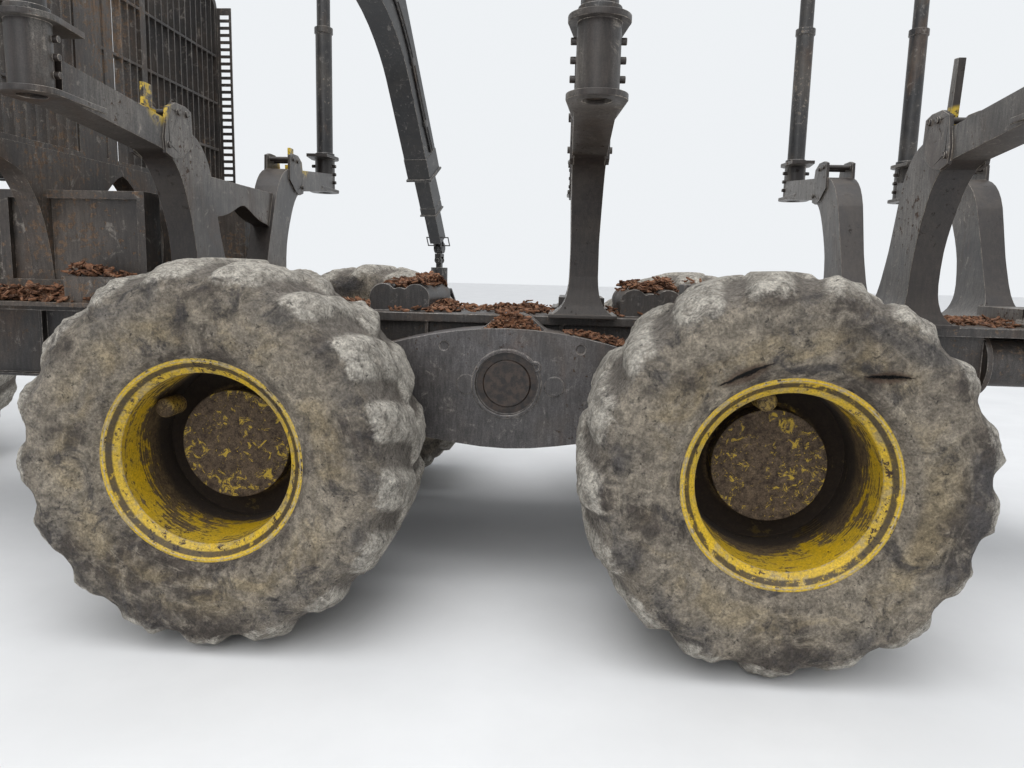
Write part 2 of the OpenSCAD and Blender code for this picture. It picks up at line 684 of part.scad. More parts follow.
// The door fills its opening with a gap of 6 all round, and turns on a post at its front edge
module cab_door() {
    g = 6;
    pts = [[door_x0 + g, cab_floor_z + cab_wall + g], [door_x1 - g, cab_floor_z + cab_wall + g],
        [door_x1 - g, 2400], [door_x1 - 90 - g, 3290 - g], [door_x0 + g, 3290 - g]];
    color([0.80, 0.64, 0.10]) put() difference() {
        union() {
            side_prism(pts, cab_half_w - cab_wall, cab_half_w);
            for (z = door_hinge_z)
                translate([door_x1, cab_half_w + hinge_off, z + 45]) {
                    cylinder(r = knuckle_r, h = 80, $fn = 32);
                    translate([-60, -hinge_off - 1, 0]) cube([56, 24, 80]);
                }
        }
        for (z = door_hinge_z)
            translate([door_x1, cab_half_w + hinge_off, z])
                cylinder(r = hinge_pin_r + pin_fit, h = 170, $fn = 32);
        side_prism([[door_x0 + 90, 1900], [door_x1 - 90, 1900], [door_x1 - 90, 2390],
            [door_x1 - 170, 3200], [door_x0 + 90, 3200]], cab_half_w - cab_wall - 1, cab_half_w + 1);
    }
}

module door_glass() {
    color([0.25, 0.30, 0.32]) put()
        side_prism([[door_x0 + 90, 1900], [door_x1 - 90, 1900], [door_x1 - 90, 2390],
            [door_x1 - 170, 3200], [door_x0 + 90, 3200]], cab_half_w - 34, cab_half_w - 26);
}

module cab_glass() {
    color([0.25, 0.30, 0.32]) put() {
        side_prism([[door_x0, 1900], [door_x1, 1900], [door_x1, 2400], [door_x1 - 90, 3290],
            [door_x0, 3290]], -cab_half_w + 26, -cab_half_w + 34);
        for (y = [-cab_half_w + 26, cab_half_w - 34])
            side_prism([[940, 1900], [door_x0 - 70, 1900], [door_x0 - 70, 3290], [960, 3290]], y, y + 8);
        side_prism([[cab_x1 - 34, 2000], [cab_x1 - 26, 2000], [cab_x1 - 26, 2296],
            [cab_x1 - 128, 3290], [cab_x1 - 136, 3290], [cab_x1 - 34, 2296]],
            -cab_half_w + 90, cab_half_w - 90);
        side_prism([[cab_x0 + 40, 1800], [cab_x0 + 48, 1800], [cab_x0 + 74, 3290],
            [cab_x0 + 66, 3290]], -cab_half_w + 90, cab_half_w - 90);
    }
}

module operator_seat() {
    color([0.12, 0.12, 0.13]) put() {
        translate([1550, 0, cab_floor_z + cab_wall]) cylinder(r = 130, h = 260, $fn = 48);
        box([1330, -250, 1759], [1830, 250, 1860]);
        side_prism([[1280, 1820], [1400, 1820], [1340, 2560], [1220, 2560]], -230, 230);
        for (s = [-1, 1]) {
            box([1350, s * 330 - 50, 2020], [1800, s * 330 + 50, 2080]);
            box([1350, s * 300 - 60, 1830], [1440, s * 300 + 60, 2030]);
        }
    }
}

hood_x0 = 2640;
hood_x1 = 4060;
hood_side = [[hood_x0, 1420], [hood_x1 - 60, 1420], [hood_x1, 1480], [hood_x1 - 40, 2120],
    [hood_x1 - 160, 2240], [hood_x0, 2330]];

module hood() {
    t = 30;
    color([0.80, 0.64, 0.10]) put() difference() {
        union() {
            difference() {
                intersection() {
                    side_prism(hood_side, -600, 600);
                    cross_prism([[-600, 1400], [-600, 2090], [-480, 2340], [480, 2340], [600, 2090], [600, 1400]],
                        hood_x0, hood_x1);
                }
                intersection() {
                    side_prism([[hood_x0 - 1, 1419], [hood_x1 - 60 - t, 1419], [hood_x1 - t, 1480],
                        [hood_x1 - 40 - t, 2100], [hood_x1 - 170, 2240 - t], [hood_x0 - 1, 2330 - t]],
                        -600 + t, 600 - t);
                    cross_prism([[-570, 1400], [-570, 2083], [-463, 2306], [463, 2306], [570, 2083], [570, 1400]],
                        hood_x0 - 2, hood_x1);
                }
            }
            for (s = [-1, 1])
                side_prism([[hood_hinge_x - 40, 1362], [hood_hinge_x + 40, 1362], [hood_hinge_x + 40, 1500],
                    [hood_hinge_x - 40, 1500]], s > 0 ? 545 : -575, s > 0 ? 575 : -545);
        }
        box([hood_x1 - 100, -420, 1520], [hood_x1 + 10, 420, 2060]);
        bar_y(hood_hinge_x, -590, 590, hood_hinge_z, 16 + pin_fit);
        // Louvres on both sides and on the top
        for (x = [hood_x0 + 330:70:hood_x0 + 1030])
            box([x, -601, 1690], [x + 34, 601, 1960]);
        for (x = [hood_x0 + 260:80:hood_x0 + 740])
            box([x, -260, 2200], [x + 36, 260, 2350]);
    }
}

module grille() {
    color([0.10, 0.10, 0.10]) put() {
        difference() {
            side_prism([[4000, 1520], [4030, 1520], [3996, 2060], [3966, 2060]], -420, 420);
            for (z = [1560:60:2000])
                box([3900, -390, z], [4080, 390, z + 34]);
        }
    }
}

module engine_block() {
    color([0.25, 0.25, 0.25]) put() {
        box([engine_x0, -400, 1250], [engine_x0 + 1050, 400, 2050]);
        box([engine_x0 + 100, -200, 1100], [engine_x0 + 950, 200, 1250]);
    }
}

module cab_steps() {
    color([0.15, 0.15, 0.15]) put() for (s = [-1, 1]) {
        for (z = [560, 820, 1080])
            box([3120, s > 0 ? 640 : -980, z], [3420, s > 0 ? 980 : -640, z + 25]);
        for (x = [3100, 3420])
            box([x, s > 0 ? 640 : -670, 560], [x + 20, s > 0 ? 670 : -640, 1340]);
        box([3100, s > 0 ? 280 : -670, 1000], [3440, s > 0 ? 670 : -280, 1040]);
    }
}

module exhaust_stack() {
    color([0.3, 0.3, 0.3]) put() {
        translate([cab_x1 + 75, 160 - cab_half_w, 1410]) {
            cylinder(r = 60, h = 1100, $fn = 48);
            translate([0, 0, 1090]) cylinder(r = 40, h = 800, $fn = 48);
        }
    }
}

module work_lamps() {
    color([0.1, 0.1, 0.1]) put() {
        for (y = [-700, -420, 420, 700]) {
            box([cab_x1 - 250, y - 75, cab_top_z], [cab_x1 - 150, y + 75, cab_top_z + 110]);
            box([cab_x0 + 50, y - 75, cab_top_z], [cab_x0 + 150, y + 75, cab_top_z + 110]);
        }
    }
}

// Crane

tongue_half = 92;
channel_half = 100;
cyl_eye_half = 55;
lug_half = 60;

module crane_pillar() {
    color([0.14, 0.14, 0.15]) crane_plane() {
        translate([0, slew_z + slew_gap, 0]) rotate([-90, 0, 0]) cylinder(r = 290, h = 80, $fn = 96);
        translate([0, slew_z + 79, 0]) rotate([-90, 0, 0]) cylinder(r = 180, h = 3150 - slew_z - 79, $fn = 96);
        plate(2 * tongue_half) {
            polygon([[-60, 3149], [170, 3149], [foot[0] + 140, foot[1] - 50], [foot[0] + 60, foot[1] + 130],
                [foot[0] - 120, foot[1] + 90]]);
            translate(foot) circle(r = 150, $fn = 64);
        }
        disc(foot, 55, 2 * (boom_half_w + 20));
        pair(lug_half, 30) plate(30) polygon([[120, 1780], [lift_low[0] + 20, 1790],
            [lift_low[0] + 75, 1850], [lift_low[0] + 75, 1910], [lift_low[0] + 20, 1960], [120, 2050]]);
        disc(lift_low, 38, 2 * (lug_half + 50));
    }
}

// Puts a shape drawn along [s, h] of the main boom into the crane plane
module along_boom() {
    translate([foot[0], foot[1], 0]) rotate([0, 0, boom_deg]) children();
}

module main_boom() {
    L = boom_len;
    color([0.14, 0.14, 0.15]) crane_plane() difference() {
        union() {
            along_boom() {
                plate(2 * boom_half_w) polygon([[-150, -120], [-110, 120], [60, 190], [2400, 195],
                    [L - 460, 140], [L - 460, -150], [2400, -190], [60, -195], [-110, -190]]);
                plate(160) {
                    polygon([[L - 470, -140], [L - 470, 130], [L, 110], [L, -110]]);
                    translate([L, 0]) circle(r = 110, $fn = 64);
                }
                pair(lug_half, 30) plate(30) polygon([[jib_cyl_s - 160, 150], [jib_cyl_s + 160, 150],
                    [jib_cyl_s + 55, jib_cyl_h + 50], [jib_cyl_s - 55, jib_cyl_h + 50]]);
                disc([jib_cyl_s, jib_cyl_h], 35, 2 * (lug_half + 45));
                disc([L, 0], 45, 2 * 140);
            }
            for (s = [-1, 1]) translate([lift_pin[0], lift_pin[1], s * (boom_half_w + 6)])
                cylinder(r = 70, h = 14, center = true, $fn = 48);
        }
        // Channel that takes the pillar head and the lift cylinder's eye
        along_boom() {
            plate(2 * channel_half) polygon([[-200, -250], [-200, 250], [60, 250], [60, 170], [1250, 172],
                [1350, -250]]);
            plate(2 * (boom_half_w - 16)) polygon([[1500, -165], [1500, 170], [L - 510, 120], [L - 510, -125],
                [2400, -165]]);
        }
        disc(foot, 55 + pin_fit, 400);
    }
}

jib_side = [lean[1], -lean[0]];
jib_depth = 360;
jib_end_d = 1080;
ext1_end_d = 550;
ext2_end_d = 120;

// A point of the jib, at distance a above the tip pin and off to the outer side
function along_jib(a, off) = tip + a * lean + off * jib_side;

// A straight box of the jib, from distance a to distance b above the tip pin
module jib_run(a, b, half_w, depth) {
    translate([tip[0], tip[1], 0]) rotate([0, 0, lean_deg])
        translate([a, -depth / 2, -half_w]) cube([b - a, depth, 2 * half_w]);
}

module jib_boom() {
    half = jib_depth / 2;
    color([0.16, 0.16, 0.17]) crane_plane() difference() {
        union() {
            // The outer edge runs straight up; the inner one turns away at the knee
            plate(2 * jib_half_w) polygon(concat(
                [[3890, 5420], [4160, 5400], [4880, 5060], along_jib(3200, half), along_jib(jib_end_d + 20, half),
                along_jib(jib_end_d + 20, -half)],
                curve(along_jib(2380, -half), along_jib(2620, -half), [5150, 4090], [4800, 4230], 6),
                curve([4760, 4250], [4400, 4400], [4150, 4620], [4020, 5070], 6), [[3930, 5070]]));
            // Heavier end with its bolted collar
            jib_run(jib_end_d + 10, jib_end_d + 290, jib_half_w + 6, jib_depth + 12);
            jib_run(jib_end_d, jib_end_d + 26, jib_half_w + 26, jib_depth + 50);
            // Hose bracket on the outer side
            plate(90) polygon([along_jib(1330, half - 5), along_jib(1380, half + 52), along_jib(1560, half + 58),
                along_jib(1700, half - 5)]);
            pair(88, 37) plate(37) {
                translate(elbow) circle(r = 130, $fn = 64);
                strip(elbow, [4000, 5260], 220);
                strip(elbow, lever_pin, 116);
                translate(lever_pin) circle(r = 68, $fn = 48);
            }
        }
        disc(elbow, 45 + pin_fit, 400);
        jib_run(jib_end_d - 10, 3275, 108, 256);
    }
}

module extension_1() {
    color([0.15, 0.15, 0.16]) crane_plane() difference() {
        union() {
            jib_run(ext1_end_d, 2850, 103, 246);
            jib_run(ext1_end_d + 8, ext1_end_d + 110, 108, 256);
            jib_run(ext1_end_d, ext1_end_d + 20, 122, 284);
            // Wear pads at the inner end
            jib_run(2700, 2850, 108 - pad_fit, 256 - 2 * pad_fit);
            // Guide that leads the hoses past the collar
            plate(70) polygon([along_jib(570, 120), along_jib(560, 250), along_jib(600, 300),
                along_jib(900, 282), along_jib(940, 250), along_jib(900, 248), along_jib(640, 262),
                along_jib(640, 120)]);
        }
        jib_run(ext1_end_d - 10, 2820, 85, 210);
    }
}

module extension_2() {
    color([0.15, 0.15, 0.16]) crane_plane() difference() {
        union() {
            difference() {
                union() {
                    jib_run(ext2_end_d, 2420, 80, 200);
                    jib_run(2280, 2420, 85 - pad_fit, 210 - 2 * pad_fit);
                }
                jib_run(ext2_end_d + 60, 2430, 62, 164);
            }
            pair(35, 25) plate(25) {
                translate(tip) circle(r = 75, $fn = 48);
                strip(tip, tip + 140 * lean, 98);
            }
            disc(tip, 28, 130);
            // Wire loops that guard the hoses on both sides of the tip
            for (s = [-1, 1]) translate([tip[0], tip[1], s * 112]) rotate([0, 0, lean_deg]) difference() {
                translate([30, -7, -52]) cube([140, 14, 104]);
                translate([44, -8, -38]) cube([112, 16, 76]);
            }
        }
    }
}

link_z = -170;
hang_z = -300;

// Sits the shape at the tip pin, x outward along the crane, z up
module at_tip() {
    put() translate([pillar_x, 0, 0]) rotate([0, 0, boom_azimuth]) translate([tip[0], 0, tip[1]]) children();
}

module tip_link() {
    color([0.14, 0.14, 0.14]) at_tip() difference() {
        union() {
            rotate([90, 0, 0]) cylinder(r = 60, h = 54, center = true, $fn = 48);
            box([-40, -27, link_z + 70], [40, 27, 0]);
            box([-64, -45, link_z + 50], [64, 45, link_z + 90]);
            for (s = [-1, 1]) translate([s * 52, 0, link_z]) rotate([0, 90, 0])
                cylinder(r = 50, h = 24, center = true, $fn = 48);
            for (s = [-1, 1]) box([s * 52 - 12, -45, link_z], [s * 52 + 12, 45, link_z + 60]);
            translate([0, 0, link_z]) rotate([0, 90, 0]) cylinder(r = 25, h = 160, center = true, $fn = 48);
        }
        rotate([90, 0, 0]) cylinder(r = 28 + pin_fit, h = 80, center = true, $fn = 48);
    }
}

module tip_hanger() {
    color([0.14, 0.14, 0.14]) at_tip() difference() {
        union() {
            translate([0, 0, link_z]) rotate([0, 90, 0]) cylinder(r = 42, h = 66, center = true, $fn = 48);
            box([-33, -38, hang_z + 20], [33, 38, link_z]);
            translate([0, 0, hang_z - 200]) cylinder(r = 115, h = 230, $fn = 64);
        }
        translate([0, 0, link_z]) rotate([0, 90, 0]) cylinder(r = 25 + pin_fit, h = 100, center = true, $fn = 48);
    }
}

jaw_y = 190;
jaw_z = -790;
arc_z = -1140;

module rotator_head() {
    color([0.16, 0.16, 0.16]) at_tip() {
        translate([0, 0, hang_z - 260]) cylinder(r = 100, h = 60, $fn = 64);
        box([-90, -150, hang_z - 330], [90, 150, hang_z - 255]);
        for (s = [-1, 1]) {
            // Cheeks that hold the two jaw pins
            difference() {
                translate([s * 95, 0, 0]) rotate([90, 0, 90]) linear_extrude(height = 30, center = true)
                    polygon([[-150, hang_z - 255], [150, hang_z - 255], [240, jaw_z], [190, jaw_z - 60],
                        [-190, jaw_z - 60], [-240, jaw_z]]);
            }
            translate([0, s * jaw_y, jaw_z]) rotate([0, 90, 0]) cylinder(r = 28, h = 240, center = true, $fn = 48);
        }
    }
}

// One jaw in its own plane, g across and z up; it hangs from its pin and curves in to the middle
module jaw_outline() {
    difference() {
        union() {
            intersection() {
                difference() {
                    translate([0, arc_z]) circle(r = 430, $fn = 96);
                    translate([0, arc_z]) circle(r = 385, $fn = 96);
                }
                polygon([[6, arc_z - 440], [440, arc_z - 440], [440, arc_z + 300], [190, arc_z + 440], [190, arc_z]]);
            }
            polygon([[jaw_y - 60, jaw_z - 20], [jaw_y - 10, jaw_z + 60], [jaw_y + 70, jaw_z + 20], [330, arc_z + 276],
                [290, arc_z + 255]]);
        }
        translate([jaw_y, jaw_z]) circle(r = 28 + pin_fit, $fn = 48);
    }
}

module jaw(side, arms) {
    color([0.13, 0.13, 0.13]) at_tip() intersection() {
        mirror([0, side > 0 ? 0 : 1, 0]) {
            for (a = arms)
                translate([a, 0, 0]) rotate([90, 0, 90]) linear_extrude(height = 30, center = true) jaw_outline();
            // Shell across the arms
            intersection() {
                rotate([90, 0, 90]) linear_extrude(height = 300, center = true) jaw_outline();
                box([-150, 0, arc_z - 450], [150, 440, arc_z + 20]);
            }
        }
    }
}

module grapple_jaw_a() {
    jaw(1, [-60, 60]);
}

module grapple_jaw_b() {
    jaw(-1, [-25, 25]);
}

// Cylinders: barrel on its pin, rod with an eye that meets its lugs

module barrel(p, deg, length, r, bore) {
    translate([p[0], p[1], 0]) rotate([0, 0, deg]) difference() {
        union() {
            cylinder(r = 68, h = 2 * cyl_eye_half, center = true, $fn = 48);
            translate([0, 0, 0]) rotate([0, 90, 0]) cylinder(r = r, h = length, $fn = 64);
            translate([length - 70, 0, 0]) rotate([0, 90, 0]) cylinder(r = r + 10, h = 70, $fn = 64);
        }
        translate([120, 0, 0]) rotate([0, 90, 0]) cylinder(r = bore + pin_fit, h = length, $fn = 64);
    }
}

module rod(p, deg, full, length, r) {
    translate([p[0], p[1], 0]) rotate([0, 0, deg]) translate([full, 0, 0]) {
        cylinder(r = 62, h = 2 * cyl_eye_half, center = true, $fn = 48);
        translate([-length, 0, 0]) rotate([0, 90, 0]) cylinder(r = r, h = length, $fn = 64);
    }
}

module lift_barrel() {
    color([0.14, 0.14, 0.15]) crane_plane() difference() {
        barrel(lift_low, lift_deg, 1180, 58, 38);
        disc(lift_low, 38 + pin_fit, 200);
    }
}

module lift_rod() {
    color([0.75, 0.75, 0.76]) crane_plane() rod(lift_low, lift_deg, lift_len, 1130, 38);
}

module jib_barrel() {
    color([0.14, 0.14, 0.15]) crane_plane() difference() {
        barrel(jib_cyl_low, jib_cyl_deg, 1560, 55, 33);
        disc(jib_cyl_low, 35 + pin_fit, 200);
    }
}

module jib_rod() {
    color([0.75, 0.75, 0.76]) crane_plane() rod(jib_cyl_low, jib_cyl_deg, jib_cyl_len, 1130, 33);
}

wheel_tyre(rear_x[0], 1);  // tyre_rear_l1
wheel_tyre(rear_x[1], 1);  // tyre_rear_l2
wheel_tyre(rear_x[0], -1);  // tyre_rear_r1
wheel_tyre(rear_x[1], -1);  // tyre_rear_r2
wheel_tyre(front_x[0], 1);  // tyre_front_l1
wheel_tyre(front_x[1], 1);  // tyre_front_l2
wheel_tyre(front_x[0], -1);  // tyre_front_r1
wheel_tyre(front_x[1], -1);  // tyre_front_r2
wheel_rim(rear_x[0], 1);  // rim_rear_l1
wheel_rim(rear_x[1], 1);  // rim_rear_l2
wheel_rim(rear_x[0], -1);  // rim_rear_r1
wheel_rim(rear_x[1], -1);  // rim_rear_r2
wheel_rim(front_x[0], 1);  // rim_front_l1
wheel_rim(front_x[1], 1);  // rim_front_l2
wheel_rim(front_x[0], -1);  // rim_front_r1
wheel_rim(front_x[1], -1);  // rim_front_r2
rear_frame();
rear_bogies();
bunks();
stakes();
headboard();
crane_base();
centre_joint();
front_frame();
front_bogies();
front_guard();
fenders();
cab_shell();
cab_roof();
cab_door();
cab_glass();
door_glass();
operator_seat();
hood();
grille();
engine_block();
cab_steps();
exhaust_stack();
work_lamps();
crane_pillar();
main_boom();
jib_boom();
extension_1();
extension_2();
tip_link();
tip_hanger();
rotator_head();
grapple_jaw_a();
grapple_jaw_b();
lift_barrel();
lift_rod();
jib_barrel();
jib_rod();
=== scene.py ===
"""Looks of an eight-wheel forestry forwarder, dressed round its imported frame.

The machine stands parked: mud on its tyres, chipped yellow rims, worn dark frame and load space,
crane slewed out to the right. Every sub-assembly is a class, every finish is a frozen dataclass.
"""

import itertools
import json
import logging
import math
import random
from collections.abc import Callable, Iterator
from contextlib import contextmanager
from dataclasses import dataclass, field
from enum import Enum

import bpy
import numpy as np
from mathutils import Matrix, Vector, noise
from mathutils.bvhtree import BVHTree


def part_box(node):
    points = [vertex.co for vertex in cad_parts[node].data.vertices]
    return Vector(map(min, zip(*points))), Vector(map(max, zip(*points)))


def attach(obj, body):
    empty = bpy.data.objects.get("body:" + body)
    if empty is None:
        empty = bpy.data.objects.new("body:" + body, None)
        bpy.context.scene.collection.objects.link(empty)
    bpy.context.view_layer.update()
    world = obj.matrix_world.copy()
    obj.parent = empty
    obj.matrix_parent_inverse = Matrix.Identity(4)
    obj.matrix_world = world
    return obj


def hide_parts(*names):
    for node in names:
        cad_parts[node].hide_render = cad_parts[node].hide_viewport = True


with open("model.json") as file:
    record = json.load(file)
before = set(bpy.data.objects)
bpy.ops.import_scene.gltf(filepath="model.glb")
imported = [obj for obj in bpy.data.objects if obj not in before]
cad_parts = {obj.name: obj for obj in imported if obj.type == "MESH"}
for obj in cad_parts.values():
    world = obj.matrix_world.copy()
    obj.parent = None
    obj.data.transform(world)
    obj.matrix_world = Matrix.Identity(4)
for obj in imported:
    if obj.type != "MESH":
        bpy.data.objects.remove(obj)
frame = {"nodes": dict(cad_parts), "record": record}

LOG = logging.getLogger("forwarder")
Colour = tuple[float, float, float]
Point = tuple[float, float, float]
Piece = bpy.types.Object

# The machine's own axes in the frame: the steering joint at x 0, the middle plane at y 0 and the
# axles at z 0.664
ORIGIN = Vector((1.125, 2.7441, sum(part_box("rim_rear_l1"), Vector()).z / 2 - 0.664))

# The body that carries each node, and the record's material slot of each node
BODY_OF = {node: body for body, nodes in frame["record"]["behaviour"]["bodies"].items() for node in nodes}
SLOT_OF = {part["node"]: part["material_slot"] for part in frame["record"]["subparts"]}


def at(x: float, y: float, z: float) -> Vector:
    """A point of the machine, measured from its steering joint, in the frame."""
    return ORIGIN + Vector((x, y, z))


class Palette(Enum):
    """Colours of paint, mud, rubber and glass, linear."""

    RUST = (0.115, 0.050, 0.022)
    DRY_MUD = (0.30, 0.245, 0.18)
    LEFT_YELLOW = (0.62, 0.43, 0.04)
    LOAM_DARK = (0.010, 0.007, 0.006)
    LOAM_PALE = (0.052, 0.034, 0.025)
    WALL_DARK = (0.066, 0.054, 0.045)
    WALL_CLAY = (0.235, 0.202, 0.158)
    WALL_PALE = (0.310, 0.270, 0.215)
    WALL_STREAK = (0.350, 0.305, 0.240)
    WALL_OCHRE = (0.310, 0.245, 0.145)
    SHOULDER = (0.062, 0.060, 0.063)
    RUBBER = (0.034, 0.031, 0.033)
    TREAD_GREY = (0.250, 0.225, 0.190)
    TREAD_PALE = (0.500, 0.465, 0.405)
    TREAD_DARK = (0.090, 0.080, 0.072)
    LUG_FOOT = (0.110, 0.092, 0.076)
    SPECK = (0.40, 0.36, 0.29)
    PIT = (0.018, 0.015, 0.014)
    TORN_RUBBER = (0.105, 0.062, 0.040)
    OPEN_SLIT = (0.007, 0.006, 0.005)
    RIM_YELLOW = (0.62, 0.40, 0.014)
    RIM_DULL = (0.50, 0.35, 0.045)
    RIM_RUST = (0.045, 0.024, 0.012)
    RIM_PALE = (0.34, 0.27, 0.14)
    RIM_BARE = (0.36, 0.30, 0.20)
    DISH_DARK = (0.050, 0.030, 0.018)
    DISH_BROWN = (0.150, 0.105, 0.050)
    DISH_BLACK = (0.020, 0.013, 0.010)
    PACKED_MUD = (0.024, 0.015, 0.010)
    CAP_DARK = (0.034, 0.022, 0.016)
    CAP_BROWN = (0.130, 0.094, 0.062)
    CAP_YELLOW = (0.50, 0.35, 0.05)
    GLASS_DUST = (0.62, 0.60, 0.56)
    REFLECTOR = (0.62, 0.64, 0.66)
    LAMP_DUST = (0.30, 0.27, 0.23)
    CHROME = (0.72, 0.72, 0.73)
    OILY_CHROME = (0.52, 0.50, 0.48)
    BARK_DARK = (0.060, 0.026, 0.014)
    BARK_RED = (0.245, 0.115, 0.060)
    BARK_INSIDE = (0.36, 0.26, 0.17)
    FLOOR_GREY = (0.74, 0.745, 0.75)
    FLOOR_PALE = (0.79, 0.795, 0.80)
    SOFT_LIGHT = (0.93, 0.96, 1.0)
    BACKDROP = (0.86, 0.885, 0.91)


# Making of materials


class Wire:
    """A value on its way between nodes, with the sums that finishes need."""

    def __init__(self, nodes: "Nodes", socket: bpy.types.NodeSocket) -> None:
        """Holds an output of one of the nodes."""
        self.nodes = nodes
        self.socket = socket

    def __add__(self, other: object) -> "Wire":
        """The sum of two values."""
        return self.nodes.math("ADD", self, other)

    def __sub__(self, other: object) -> "Wire":
        """This value less another."""
        return self.nodes.math("SUBTRACT", self, other)

    def __rsub__(self, other: object) -> "Wire":
        """Another value less this one."""
        return self.nodes.math("SUBTRACT", other, self)

    def __mul__(self, other: object) -> "Wire":
        """The product of two values."""
        return self.nodes.math("MULTIPLY", self, other)

    def __truediv__(self, other: object) -> "Wire":
        """This value divided by another."""
        return self.nodes.math("DIVIDE", self, other)

    def __abs__(self) -> "Wire":
        """The value without its sign."""
        return self.nodes.math("ABSOLUTE", self)


class Nodes:
    """Short calls that add and join the nodes of one tree."""

    def __init__(self, tree: bpy.types.NodeTree) -> None:
        """Starts with an empty tree."""
        self.tree = tree
        self.tree.nodes.clear()

    def feed(self, socket: bpy.types.NodeSocket, value: object) -> None:
        """Links a socket into another, or writes a plain number or colour on it.

        Args:
            socket: The input.
            value: What it takes.
        """
        if isinstance(value, Palette):
            value = value.value
        if isinstance(value, Wire):
            self.tree.links.new(value.socket, socket)
        elif isinstance(value, tuple) and len(value) == 3 and len(socket.default_value) == 4:
            socket.default_value = (*value, 1.0)
        else:
            socket.default_value = value

    def node(self, kind: str, inputs: dict[str | int, object], **settings: object) -> bpy.types.Node:
        """A new node.

        Args:
            kind: Its type, without the words that all types start with.
            inputs: What each of its sockets takes.
            settings: Its own options.

        Returns:
            The node.
        """
        node = self.tree.nodes.new(f"ShaderNode{kind}")
        for option, value in settings.items():
            setattr(node, option, value)
        for socket, value in inputs.items():
            self.feed(node.inputs[socket], value)
        return node

    def out(self, kind: str, inputs: dict[str | int, object], output: str | int = 0,
            **settings: object) -> Wire:
        """One output of a new node, which is made as node() makes it."""
        return Wire(self, self.node(kind, inputs, **settings).outputs[output])

    def math(self, operation: str, a: object, b: object = 0.0, clamp: bool = False) -> Wire:
        """One sum on numbers."""
        return self.out("Math", {0: a, 1: b}, operation=operation, use_clamp=clamp)


